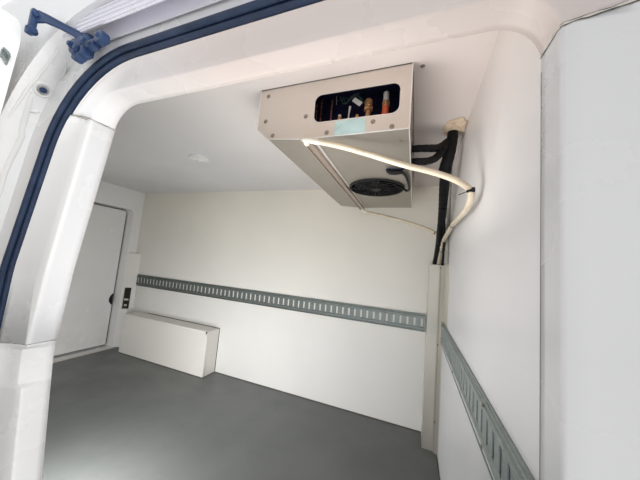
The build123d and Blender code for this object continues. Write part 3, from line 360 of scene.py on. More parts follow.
# Named finishes of the record, each with the looks that belong to it
finishes = {
    "white_lining": {
        "lining": gelcoat("lining_gelcoat", (0.80, 0.775, 0.735)),
        "moulding": gelcoat("frame_gelcoat", frame_white, 0.008, satin),
        # The posts fade to a darker grey on the reveal, inboard of the ridge: painted shade on the inward face.
        "post": gelcoat("post_gelcoat", frame_white, 0.008, satin, (0.64, 0.645, 0.655), ("Y", -0.883, -0.871)),
        # The header is painted darker than the posts, and darker and warmer still towards the front: painted shade.
        "header": gelcoat("header_gelcoat", (0.78, 0.78, 0.785), 0.048, satin, (0.68, 0.605, 0.57), ("X", 0.68, 1.10)),
        "bulkhead": gelcoat("bulkhead_gelcoat", (0.765, 0.768, 0.785), second=(0.76, 0.715, 0.69)),
        "wall": two_sided("wall_panel", (0.79, 0.785, 0.76), (0.80, 0.765, 0.68), ("Z", 0.6, 1.8), "Y",
                          left_y + 0.002),
        "roof": two_sided("roof_skin", (0.69, 0.69, 0.70), (0.72, 0.655, 0.63), ("X", 0.1, 1.3), "Z",
                          ceiling_z + 0.002),
        "sealant": plastic("old_sealant", (0.66, 0.61, 0.54), (0.45, 0.65), 700)},
    "white_paint": {
        "paint": paint("body_paint", (0.84, 0.84, 0.83)),
        # The track's white is a brighter, bluish copy of the body paint: painted bluish sky light on its shaded face.
        "track": paint("track_paint", (0.86, 0.85, 0.92)),
        "white_plastic": plastic("white_plastic", (0.78, 0.78, 0.76))},
    "underframe_paint": {"chassis": plastic("chassis_paint", (0.030, 0.031, 0.033), (0.45, 0.65), 90)},
    "stainless": {
        # The unit's stainless sheets are lit and shaded copies of one metal: housing, far plate and drain channel are
        # dark as painted shade and a painted reflection of the grey floor; the end plate is painted light.
        "steel": brushed("stainless_sheet", (0.34, 0.31, 0.268), deep_grain),
        # Pale steel for folded edges, the window rim and the channel's lips: painted highlights.
        "edge_highlight_steel": brushed("folded_edge_highlight", (0.92, 0.90, 0.87), (60, 60, 60), (0.3, 0.4), 0.05),
        "channel_steel": brushed("drain_channel_sheet", (0.40, 0.33, 0.28), deep_grain),
        "plate_steel": brushed("end_plate_sheet", (0.78, 0.72, 0.67), across_grain, (0.30, 0.46)),
        "duct": brushed("duct_sheet", (0.76, 0.73, 0.66), upright_grain, (0.3, 0.45), 0.15)},
    "zinc_steel": {
        # The rails darken towards the rear of the load space: painted shade.
        "zinc": galvanised("galvanised_rail", (0.33, 0.375, 0.37), (0.085, 0.10, 0.085), ("X", -1.2, 1.5)),
        "screw": metal("zinc_screw", (0.42, 0.38, 0.32), (0.3, 0.5), 160),
        "rust": metal("rusty_screw", (0.17, 0.105, 0.07), (0.5, 0.7), 160, 0.4)},
    "black_rubber": {
        # The door rubber is black tinted blue, with pale blue patches: painted sky reflection.
        "rubber": rubber("door_rubber", (0.017, 0.032, 0.070), (0.28, 0.44), (0.07, 0.105, 0.19)),
        "pipe": rubber("pipe_insulation", (0.006, 0.006, 0.007), (0.50, 0.7), (0.022, 0.022, 0.025), 0.22),
        # Dark blue for the bay's lining and the plate inside the fan lead's slot: painted shade.
        "bay": rubber("bay_shade_lining", (0.016, 0.016, 0.055), (0.25, 0.45), (0.05, 0.05, 0.13)),
        "seal_grey": rubber("grey_gasket", (0.13, 0.135, 0.13), (0.4, 0.6), (0.25, 0.25, 0.24)),
        # Dark grey for sealant lines and cracks, deepened as painted shade in joints, corners and open gaps.
        "joint_shade_line": plastic("joint_shadow", (0.10, 0.095, 0.085), (0.6, 0.8), 500)},
    "black_plastic": {
        "black": plastic("black_plastic", (0.012, 0.012, 0.013), (0.40, 0.55), shine=0.25),
        # Black arm parts and the plug's middle, tinted deep blue: painted sky reflection.
        "arm": plastic("arm_black_sky_tint", (0.026, 0.055, 0.135), (0.26, 0.42)),
        "green": plastic("green_lead", (0.06, 0.13, 0.10)),
        "pocket": plastic("pocket_shade", (0.022, 0.020, 0.017), (0.5, 0.7))},
    "hose_cream": {
        "hose": plastic("cream_hose", (0.64, 0.56, 0.43), (0.28, 0.42)),
        "sleeve": plastic("hose_sleeve", (0.72, 0.68, 0.59)),
        "conduit": plastic("grey_conduit", (0.36, 0.345, 0.31), (0.4, 0.55))},
    "brass": {
        # The brass is brighter and more saturated than its own colour: painted light in the dim bay.
        "brass": metal("worn_brass", (0.85, 0.46, 0.22), shine=0.40),
        "copper": metal("worn_copper", (0.42, 0.17, 0.13), shine=0.5)},
    "aluminium": {"alloy": metal("mill_aluminium", (0.68, 0.68, 0.67), (0.28, 0.42), 40)},
    "floor_sheet": {"floor": floor_sheet("floor_sheet")},
    "foam": {"foam": foam_skin("cured_foam")},
    "red_lens": {
        "red": lens("tail_lens", (0.42, 0.012, 0.012)),
        "amber": lens("amber_lens", (0.75, 0.20, 0.02)),
        # The orange cap is brighter than its own orange: painted light in the dim bay.
        "port": plastic("orange_cap", (0.88, 0.15, 0.06))},
    "lamp_lens": {
        "opal": lens("opal_lens", (0.82, 0.83, 0.82), 0.22, 0.0),
        "plate": plastic("blank_plate", (0.56, 0.76, 0.77), (0.25, 0.4), 90)},
}
looks = {look: material for group in finishes.values() for look, material in group.items()}

for look, names in {
        "chassis": "underframe cross_members",
        "lining": "floor_panel wheel_box_left wheel_box_right sliding_door_lining",
        "wall": "left_wall right_wall corner_post_covers",
        "roof": "roof_panel",
        "bulkhead": "bulkhead",
        "floor": "floor_covering",
        "header": "door_frame_header",
        "moulding": "door_frame_rear_post door_frame_rear_foot door_frame_front_post",
        "rubber": "side_door_seal",
        "track": "upper_track",
        "zinc": "waist_track lashing_rail_left lashing_rail_right lashing_rail_bulkhead",
        "duct": "corner_duct",
        "steel": "evaporator_housing evaporator_far_plate",
        "plate_steel": "evaporator_end_plate",
        "channel_steel": "drain_channel",
        "alloy": "door_sill evaporator_coil",
        "brass": "valve_group",
        "hose": "drain_hose_near drain_hose_far",
        "pipe": "insulated_pipes",
        "conduit": "corner_conduit",
        "foam": "roof_gland",
        "opal": "ceiling_lamp",
        "red": "tail_lamps",
        "paint": "rear_frame sliding_door rear_door_left rear_door_right rear_hinge_brackets hinge_straps_left "
                 "hinge_straps_right condenser_housing",
        "black": "rear_bumper sliding_door_arm evaporator_fan_ring evaporator_fan_motor evaporator_fan release_cup "
                 "rear_door_handle condenser_fan_mounts condenser_fan_left condenser_fan_right"}.items():
    for name in names.split():
        nodes[name].data.materials.clear()
        nodes[name].data.materials.append(looks[look])


def circle(steps):
    """Cosine and sine at even steps of a turn."""
    return [(cos(2 * pi * i / steps), sin(2 * pi * i / steps)) for i in range(steps)]


def oblong(half_a, half_b):
    """Corners of an upright rectangle about its middle."""
    return (-half_a, -half_b), (half_a, -half_b), (half_a, half_b), (-half_a, half_b)


def arc_steps(corners, steps=8):
    """Points round a closed outline of (a, b, radius) corners, the same number at each corner."""
    points = []
    for index, (a, b, radius) in enumerate(corners):
        here = Vector((a, b))
        to_before = (Vector(corners[index - 1][:2]) - here).normalized()
        to_after = (Vector(corners[(index + 1) % len(corners)][:2]) - here).normalized()
        half = to_before.angle(to_after) / 2
        centre = here + (to_before + to_after).normalized() * radius / sin(half)
        first, last = [here + way * radius / tan(half) - centre for way in (to_before, to_after)]
        for step in range(steps + 1):
            share = step / steps
            points.append(centre + (first * (1 - share) + last * share).normalized() * radius)
    return points


def rounded(corners, radius, steps=8):
    """Outline with the same radius at each corner."""
    return [tuple(point) for point in arc_steps([(*corner, radius) for corner in corners], steps)]


def dense(line, step):
    """Points about a step apart along a line."""
    points = []
    for first, second in zip(line, line[1:]):
        parts = max(1, int((second - first).length / step))
        points += [first.lerp(second, part / parts) for part in range(parts)]
    return points + [line[-1]]


class Form:
    """A mesh put together from rounded blocks, turned shapes, swept runs and sheets."""

    def __init__(self):
        self.bm = bmesh.new()

    def rows(self, rows, closed=True, ends=True, wrap=False):
        """Skins rows of points, each the same length."""
        made = [[self.bm.verts.new(point) for point in row] for row in rows]
        if wrap:
            made.append(made[0])
        count = len(made[0])
        for first, second in zip(made, made[1:]):
            for index in range(count if closed else count - 1):
                other = (index + 1) % count
                self.bm.faces.new((first[index], first[other], second[other], second[index]))
        if ends and closed and not wrap:
            self.bm.faces.new(made[0][::-1])
            self.bm.faces.new(made[-1])

    def block(self, low, high, rounding=0.001, steps=2):
        """Box between two corners, with rounded edges."""
        low, high = Vector(low), Vector(high)
        size = high - low
        placed = Matrix.Translation((low + high) / 2) @ Matrix.Diagonal((*size, 1))
        made = bmesh.ops.create_cube(self.bm, size=1, matrix=placed)
        edges = {edge for vert in made["verts"] for edge in vert.link_edges}
        rounding = min(rounding, 0.45 * min(size))
        bmesh.ops.bevel(self.bm, geom=list(edges), offset=rounding, segments=steps, profile=0.5, affect="EDGES")

    def turned(self, base, axis, profile, steps=32):
        """Turns a profile of (radius, distance) pairs about an axis from a base point."""
        base, axis = Vector(base), Vector(axis).normalized()
        side = axis.orthogonal().normalized()
        other = axis.cross(side)
        self.rows([[base + axis * distance + (side * c + other * s) * max(radius, 0.00001) for c, s in circle(steps)]
                   for radius, distance in profile])

    def run(self, points, radius, steps=10, wrap=False):
        """Sweeps a round section along points; the radius is a number or a list, one for each point."""
        self.sweep(points, circle(steps), radius if isinstance(radius, list) else [radius] * len(points), wrap)

    def sweep(self, points, section, scales=None, wrap=False, upright=None):
        """Sweeps a section of (side, up) pairs along points, turned as little as possible."""
        points = [Vector(point) for point in points]
        count = len(points)
        side = None
        rows = []
        for index, (point, scale) in enumerate(zip(points, scales or [1.0] * count)):
            before = points[index - 1] if index or wrap else point
            after = points[(index + 1) % count] if index < count - 1 or wrap else point
            ahead = (after - before).normalized()
            if upright is not None:
                side = ahead.cross(Vector(upright)).normalized()
            elif side is None:
                side = ahead.orthogonal().normalized()
            else:
                side = (side - ahead * side.dot(ahead)).normalized()
            up = side.cross(ahead)
            rows.append([point + (side * across + up * lift) * scale for across, lift in section])
        self.rows(rows, wrap=wrap)

    def slab(self, outline, origin, across, up, depth, rounding=0.0):
        """Flat plate from an outline of (across, up) pairs, thickened along across x up."""
        origin, across, up = Vector(origin), Vector(across).normalized(), Vector(up).normalized()
        normal = across.cross(up)
        flat = [origin + across * u + up * v for u, v in outline]
        rows = [flat, [point + normal * (depth - rounding) for point in flat]]
        if rounding:
            middle = sum(flat, Vector()) / len(flat)
            rows.append([point + (middle - point).normalized() * rounding + normal * depth for point in flat])
        self.rows(rows)

    def screw(self, spot, normal, radius=0.006, washer=True):
        """Pan head screw with a crossed recess, on a washer."""
        spot, normal = Vector(spot), Vector(normal).normalized()
        if washer:
            self.turned(spot, normal, ((radius * 1.5, 0), (radius * 1.5, 0.0008), (radius * 0.5, 0.0010)), 20)
        top = radius * 0.55
        self.turned(spot, normal, [(radius * share, top * rise) for share, rise in (
            (1, 0), (1, 0.5), (0.8, 0.85), (0.45, 1), (0.2, 1), (0.15, 0.4), (0, 0.3))], 20)
        side = normal.orthogonal().normalized()
        for way in (side, normal.cross(side)):
            low, reach = spot + normal * top * 0.9, way * radius * 0.55
            half, rise = normal.cross(way) * radius * 0.09, normal * top * 0.13
            self.rows([[end - half, end + half, end + half + rise, end - half + rise]
                       for end in (low - reach, low + reach)])

    def bolt(self, spot, normal, radius=0.009, height=0.006):
        """Hexagon head bolt on a washer."""
        spot, normal = Vector(spot), Vector(normal).normalized()
        self.turned(spot, normal, ((radius * 1.35, 0), (radius * 1.35, 0.0014), (radius * 0.6, 0.0016)), 24)
        self.turned(spot + normal * 0.0014, normal, ((radius, 0), (radius, height * 0.85), (radius * 0.86, height),
                                                     (0, height)), 6)

    def piece(self, name, look, body="compartment", replaces=(), crease=35):
        """Makes the object, gives it its finish and lets it ride on a body."""
        bmesh.ops.recalc_face_normals(self.bm, faces=self.bm.faces)
        mesh = bpy.data.meshes.new(name)
        self.bm.to_mesh(mesh)
        self.bm.free()
        for polygon in mesh.polygons:
            polygon.use_smooth = True
        mesh.set_sharp_from_angle(angle=radians(crease))
        return dress(link(name, mesh), look, body, replaces)


def dress(obj, look, body="compartment", replaces=()):
    obj.data.materials.append(looks[look])
    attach(obj, body)
    if replaces:
        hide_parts(*replaces)
    return obj


def spline_curve(name, spots, radius=0.0, sides=5, resolution=10, swell=()):
    """One open NURBS spline on control points; swell gives each point's share of the radius."""
    curve = bpy.data.curves.new(name, "CURVE")
    curve.dimensions = "3D"
    spline = curve.splines.new("NURBS")
    spline.points.add(len(spots) - 1)
    for point, spot in zip(spline.points, spots):
        point.co = (*spot, 1)
    for point, share in zip(spline.points, swell):
        point.radius = share
    spline.order_u = 3
    spline.use_endpoint_u = True
    spline.resolution_u = resolution
    curve.bevel_depth = radius
    curve.bevel_resolution = sides
    curve.use_fill_caps = True
    return link(name, curve)


def route_curve(name, route, radius=0.0):
    return spline_curve(name, [hang(*spot) for spot in route], radius)


def route_line(route):
    """Points along the route's spline."""
    plain = route_curve("route_line", route)
    mesh = bpy.data.meshes.new_from_object(plain)
    points = [vert.co.copy() for vert in mesh.vertices]
    bpy.data.objects.remove(plain)
    bpy.data.meshes.remove(mesh)
    return points


# Hoses and pipes: behind the bulkhead lining, from the left lining, below the ceiling, in metres
near_route = (
    (0.574, 1.2895, 0.234), (0.574, 1.301, 0.235), (0.560, 1.309, 0.242), (0.530, 1.306, 0.250),
    (0.486, 1.290, 0.254), (0.425, 1.262, 0.262), (0.340, 1.228, 0.280), (0.252, 1.196, 0.304),
    (0.122, 1.168, 0.334), (0.060, 1.185, 0.372), (0.030, 1.216, 0.412), (0.030, 1.136, 0.445),
    (0.030, 0.978, 0.442), (0.030, 0.750, 0.433), (0.031, 0.560, 0.452), (0.034, 0.400, 0.470),
    (0.036, 0.290, 0.520), (0.034, 0.150, 0.584), (0.034, 0.132, 0.640), (0.036, 0.130, 0.700))
far_route = (
    (0.574, 0.2065, 0.234), (0.574, 0.195, 0.235), (0.560, 0.187, 0.242), (0.530, 0.190, 0.254),
    (0.480, 0.205, 0.266), (0.390, 0.240, 0.292), (0.296, 0.268, 0.320), (0.166, 0.296, 0.364),
    (0.084, 0.330, 0.402), (0.050, 0.342, 0.436), (0.038, 0.344, 0.480))
upper_pipe = ((0.2215, 0.929, 0.126), (0.190, 0.929, 0.126), (0.150, 0.914, 0.122), (0.100, 0.860, 0.100),
              (0.072, 0.836, 0.060))
lower_pipe = ((0.2215, 0.929, 0.186), (0.190, 0.929, 0.186), (0.155, 0.918, 0.184), (0.110, 0.876, 0.150),
              (0.074, 0.836, 0.070))
pipe_bundle = ((0.050, 0.830, 0.0105), (0.050, 0.830, 0.040), (0.060, 0.822, 0.110), (0.070, 0.808, 0.155),
               (0.080, 0.780, 0.205))
corner_pipe = ((0.070, 0.806, 0.170), (0.070, 0.752, 0.215), (0.064, 0.660, 0.286), (0.058, 0.560, 0.354),
               (0.056, 0.450, 0.430), (0.055, 0.330, 0.500), (0.056, 0.190, 0.560), (0.058, 0.110, 0.610),
               (0.060, 0.098, 0.700))
corner_lead = ((0.060, 0.640, 0.330), (0.040, 0.520, 0.410), (0.026, 0.380, 0.500), (0.016, 0.250, 0.560),
               (0.014, 0.215, 0.605))
near_radius = 0.0102
far_radius = 0.0108
pipe_radius = 0.016
tape_pitch = 0.032
tape_step = 0.0007


def add_hoses():
    for side, route, radius in (("near", near_route, near_radius), ("far", far_route, far_radius)):
        dress(route_curve(f"drain_hose_{side}_run", route, radius), "hose", replaces=(f"drain_hose_{side}",))


def add_pipes():
    """Foam-covered pipes wound with overlapping tape, so their radius steps once in each turn of the tape."""
    form = Form()
    for route, first_radius, last_radius in (
            (pipe_bundle, 0.022, 0.027), (upper_pipe, 0.0145, 0.017), (lower_pipe, 0.0145, 0.017),
            (corner_pipe, 0.024, 0.010), (corner_lead, 0.007, 0.007)):
        line = dense(route_line(route), 0.004)
        travelled = 0.0
        radii = []
        for index, point in enumerate(line):
            if index:
                travelled += (point - line[index - 1]).length
            radius = first_radius + (last_radius - first_radius) * index / (len(line) - 1)
            radii.append(radius + 2 * tape_step * ((travelled / tape_pitch) % 1))
        form.run(line, radii, 16)
    form.piece("taped_pipes", "pipe", replaces=("insulated_pipes",))
    collars = Form()
    for route in (upper_pipe, lower_pipe):
        collars.turned(hang(*route[0]), (-1, 0, 0), ((0.021, 0.0), (0.022, 0.001), (0.019, 0.003), (0.0155, 0.004)), 28)
    slot_y = left_y - 0.929
    collars.block((evap_high.x - 0.0004, slot_y - 0.026, ceiling_z - 0.212),
                  (evap_high.x + 0.0016, slot_y + 0.026, ceiling_z - 0.100), 0.0006)
    collars.piece("pipe_grommets", "pipe")


def tie(form, line, target, radius, tail, tail_way):
    """Cable tie round a hose at the point of its line nearest to the target."""
    nearest = min(range(len(line)), key=lambda index: (line[index] - target).length)
    index = max(1, min(len(line) - 2, nearest))
    centre = line[index]
    ahead = (line[index + 1] - line[index - 1]).normalized()
    side = ahead.orthogonal().normalized()
    up = ahead.cross(side)
    rows = []
    for c, s in circle(24):
        out = side * c + up * s
        rows.append([centre + out * (radius + 0.0008 + lift) + ahead * across
                     for across, lift in oblong(0.0024, 0.0006)])
    form.rows(rows, wrap=True)
    head = centre + side * (radius + 0.003)
    half = vec(0.0035, 0.0035, 0.0035)
    form.block(head - half, head + half)
    way = Vector(tail_way).normalized()
    bend = head + side * 0.006
    form.sweep([head, bend, bend + way * tail * 0.5 + side * 0.004, bend + way * tail], oblong(0.0018, 0.0005),
               [1, 1, 1, 0.8])


def add_hose_fittings():
    near_line, far_line, pipe_line = [route_line(route) for route in (near_route, far_route, corner_pipe)]
    form = Form()
    for line, reach, radius in ((near_line, 0.062, near_radius), (far_line, 0.040, far_radius)):
        stop = next(index for index, point in enumerate(line) if (point - line[0]).length > reach)
        form.run(line[:stop], [radius + 0.0009] * (stop - 1) + [radius + 0.0005], 18)
    meeting = far_line[-1]
    form.run([meeting + vec(0, 0, 0.030), meeting, meeting - vec(0, 0, 0.026)], 0.0105, 18)
    form.piece("hose_end_sleeves", "sleeve")
    ties = Form()
    for line, spot, radius, tail, way in (
            (near_line, (0.034, 1.205, 0.405), near_radius, 0.022, (-0.7, 0.2, -0.25)),
            (near_line, (0.030, 0.760, 0.433), near_radius, 0.035, (-0.2, 0.6, -0.6)),
            (near_line, (0.034, 0.420, 0.468), near_radius, 0.025, (-0.6, 0.2, -0.6)),
            (near_line, (0.036, 0.300, 0.515), near_radius, 0.02, downward),
            (far_line, (0.074, 0.334, 0.410), far_radius, 0.02, downward),
            (pipe_line, (0.070, 0.420, 0.450), pipe_radius, 0.03, downward),
            (pipe_line, (0.060, 0.150, 0.590), pipe_radius, 0.02, downward)):
        tie(ties, line, hang(*spot), radius, tail, way)
    mount = hang(0.0, 1.206, 0.405)
    ties.block(mount - vec(0.041, 0.008, 0.008), mount + vec(-0.024, 0.008, 0.008), 0.003)
    ties.piece("cable_ties", "black")


def add_foam_patch():
    """Cured foam squeezed out round the pipes where they leave through the ceiling."""
    draw = random.Random(7)
    form = Form()
    middle = hang(0.044, 0.850, 0.0)
    lumps = [(0.0, 0.0, 0.054, 0.013)]
    for c, s in circle(11):
        reach = 0.028 + 0.010 * draw.random()
        lumps.append((c * reach * 0.85, s * reach * 1.75, 0.019 + 0.010 * draw.random(), 0.008 + 0.004 * draw.random()))
    for shift_x, shift_y, radius, depth in lumps:
        rows = []
        for step in range(7):
            rise = step / 6 * pi / 2
            size = radius * cos(rise * 0.96)
            rows.append([middle + vec(max(-0.062, min(0.042, shift_x + c * size)), shift_y + s * size * 1.15,
                                      -depth * sin(rise)) for c, s in circle(20)])
        form.rows(rows)
    patch = form.piece("foam_patch", "foam", replaces=("roof_gland",), crease=80)
    melt = patch.modifiers.new("melt", "REMESH")
    melt.mode = "VOXEL"
    melt.voxel_size = 0.003
    melt.use_smooth_shade = True
    patch.modifiers.new("soften", "SMOOTH").iterations = 4


def add_conduit():
    """Corner conduit with its saddles and a joint socket."""
    radius, inboard = 0.010, 0.395
    foot = place(radius, inboard, 1.181)
    form = Form()
    form.turned(foot, upward, ((radius, 0), (radius, ceiling_z - 0.001 - foot.z)), 24)
    form.turned(place(radius, inboard, 1.46), upward,
                ((radius, 0), (0.0118, 0.001), (0.0118, 0.044), (radius, 0.045)), 24)
    form.piece("conduit_run", "conduit", replaces=("corner_conduit",))
    arch = [(-0.024, 0.0015), (-0.0125, 0.0015)]
    arch += [(-0.0115 * cos(pi * i / 10), 0.0105 + 0.0115 * sin(pi * i / 10)) for i in range(11)]
    arch += [(0.0125, 0.0015), (0.024, 0.0015)]
    saddles = Form()
    for height in (1.25, 1.40, 1.60, 1.74):
        middle = place(0, inboard, height)
        rows = []
        for index, (across, out) in enumerate(arch):
            way = Vector(arch[min(index + 1, len(arch) - 1)]) - Vector(arch[max(index - 1, 0)])
            along, lift = way.normalized()
            rows.append([middle + vec(-(out + along * up), across - lift * up, rise)
                         for rise, up in ((-0.007, 0.0), (0.007, 0.0), (0.007, 0.0014), (-0.007, 0.0014))])
        saddles.rows(rows)
        for across in (-0.019, 0.019):
            saddles.screw(middle + vec(-0.0028, across, 0), (-1, 0, 0), 0.003, False)
    saddles.piece("conduit_saddles", "conduit")


def add_wire_guard(name, centre, side):
    """Round fan guard of concentric wires on bent spokes, on the upper (1) or lower (-1) side of a fan."""
    form = Form()
    radius = fan_ring_radius - 0.002
    wire = 0.0013
    rings, spokes = 6, 8
    for ring in range(rings):
        share = ring / (rings - 1)
        reach = radius * (0.20 + 0.80 * share)
        form.run([centre + vec(c * reach, s * reach, side * (0.0055 - 0.0045 * share ** 4)) for c, s in circle(48)],
                 wire, 6, wrap=True)
    for spoke in range(spokes):
        angle = 2 * pi * spoke / spokes + 0.2
        way = vec(cos(angle), sin(angle), 0) * radius
        form.run([centre + way * share + vec(0, 0, side * (0.0070 - 0.0055 * share ** 4))
                  for share in (0.14, 0.4, 0.65, 0.85, 1.0)], wire * 1.2, 6)
    form.turned(centre + vec(0, 0, side * 0.004), (0, 0, side),
                ((0.024, 0), (0.024, 0.003), (0.020, 0.005), (0, 0.005)), 24)
    form.piece(name, "black")


def add_fan_lip():
    """Rolled lip of the fan ring under the sheet."""
    form = Form()
    form.sweep([fan_centre + vec(c * fan_ring_radius, s * fan_ring_radius, -0.003) for c, s in circle(64)],
               ((-0.004, -0.004), (0.002, -0.005), (0.005, -0.002), (0.005, 0.004), (-0.004, 0.004)), wrap=True,
               upright=upward)
    form.piece("fan_ring_lip", "black")


def add_fan(name, node, body):
    """Axial fan with a domed hub and curved, twisted blades, in place of the plain rotor."""
    low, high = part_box(node)
    centre = (low + high) / 2
    tip = (high.x - low.x) / 2
    half = (high.z - low.z) / 2
    hub = 0.045
    blades, steps = 7, 8
    half_sheet = vec(0, 0, 0.0009)
    form = Form()
    form.turned(centre - vec(0, 0, half * 0.8), upward,
                ((0.0, 0.0), (hub * 0.55, 0.0), (hub * 0.92, 0.003), (hub, 0.007), (hub, half * 1.5),
                 (hub * 0.9, half * 1.6), (0, half * 1.6)), 40)
    for blade in range(blades):
        rows = []
        for step in range(steps + 1):
            share = step / steps
            radius = hub * 0.97 + (tip * 0.985 - hub * 0.97) * share
            chord = 0.044 + 0.020 * share
            sweep = 2 * pi * blade / blades + 0.30 * share ** 1.5
            pitch = radians(34 - 16 * share)
            upper, lower = [], []
            for part in range(steps + 1):
                along = (part / steps - 0.5) * chord
                angle = sweep + along * cos(pitch) / radius
                lift = along * sin(pitch) + 0.004 * (1 - (2 * part / steps - 1) ** 2)
                lift = max(-half * 0.92, min(half * 0.92, lift))
                spot = centre + vec(cos(angle) * radius, sin(angle) * radius, lift)
                upper.append(spot + half_sheet)
                lower.append(spot - half_sheet)
            rows.append(upper + lower[::-1])
        form.rows(rows)
    form.piece(name, "black", body, (node,), 50)


def add_evaporator_trim():
    screws = Form()
    for back, drop in ((0.759, 0.030), (0.759, 0.135), (0.720, 0.197), (0.587, 0.136), (0.499, 0.208), (0.338, 0.187),
                       (0.276, 0.211)):
        screws.screw(on_plate(back, drop), (0, -1, 0), 0.0055)
    for back, inboard in ((0.253, 0.356), (0.253, 0.60), (0.253, 1.20), (0.560, 0.30), (0.560, 0.62), (0.560, 1.16)):
        screws.screw(hang(back, inboard, low_drop), downward, 0.0045)
    for inboard in (0.30, 0.62, 1.08):
        for drop in (0.020, 0.200):
            screws.screw(vec(evap_high.x, left_y - inboard, ceiling_z - drop), (1, 0, 0), 0.0045)
    screws.screw(hang(0.192, 1.256, 0), downward, 0.005)
    screws.piece("evaporator_screws", "screw")

    # Folded edges of the sheets, pale as painted highlights along the folds
    far_y = evap_high.y
    fold = 0.0022
    bead = [on_plate(back, drop) for back, drop in ((0.795, 0.164), (0.741, 0.209), (0.591, 0.223), (0.222, 0.223))]
    edges = Form()
    edges.run(bead, fold, 8)
    for spot in (bead[-1], bead[0]):
        edges.run([spot, vec(spot.x, plate_y, ceiling_z - 0.001)], fold, 8)
    edges.run([vec(spot.x, far_y, spot.z) for spot in bead], fold, 8)
    for spot, share in ((bead[-1], 1), (bead[0], 0.7), (bead[1], 0.6)):
        edges.run([spot, vec(spot.x, far_y, spot.z)], fold * share, 8)
    window = rounded(((0.5545, 0.060), (0.2555, 0.060), (0.2555, 0.166), (0.5545, 0.166)), 0.026)
    edges.run([on_plate(a, b, 0.0002) for a, b in window], 0.0011, 8, wrap=True)
    edges.piece("evaporator_edge_highlights", "edge_highlight_steel")

    # Dark sealant line between the unit and the ceiling, deepened as painted shade in the joint
    seal = Form()
    seal.run([vec(front_x - back, y, ceiling_z - 0.0015) for back, y in (
        (0.796, plate_y - 0.001), (0.221, plate_y - 0.001), (0.221, far_y + 0.001), (0.796, far_y + 0.001))],
        0.0014, 8, wrap=True)
    seal.piece("evaporator_sealant", "joint_shade_line")

    # Dark blue sheets lining the service bay: painted shade inside the deep bay
    bay = Form()
    front, rear = front_x - 0.2265, front_x - 0.7905
    near_y, back_y = plate_y + 0.004, plate_y + 0.124
    for first_x, first_y, first_drop, last_x, last_drop, rounding in (
            (rear, back_y - 0.004, 0.160, front, 0.002, 0.0015), (rear, near_y, 0.005, front, 0.001, 0.0015),
            (front - 0.004, near_y, 0.217, front, 0.002, 0.0015), (rear, near_y, 0.160, rear + 0.004, 0.002, 0.0015),
            (front_x - 0.585, near_y, 0.2195, front, 0.216, 0.001)):
        bay.block((first_x, first_y, ceiling_z - first_drop), (last_x, back_y, ceiling_z - last_drop), rounding)
    bay.piece("bay_shade_lining", "bay")


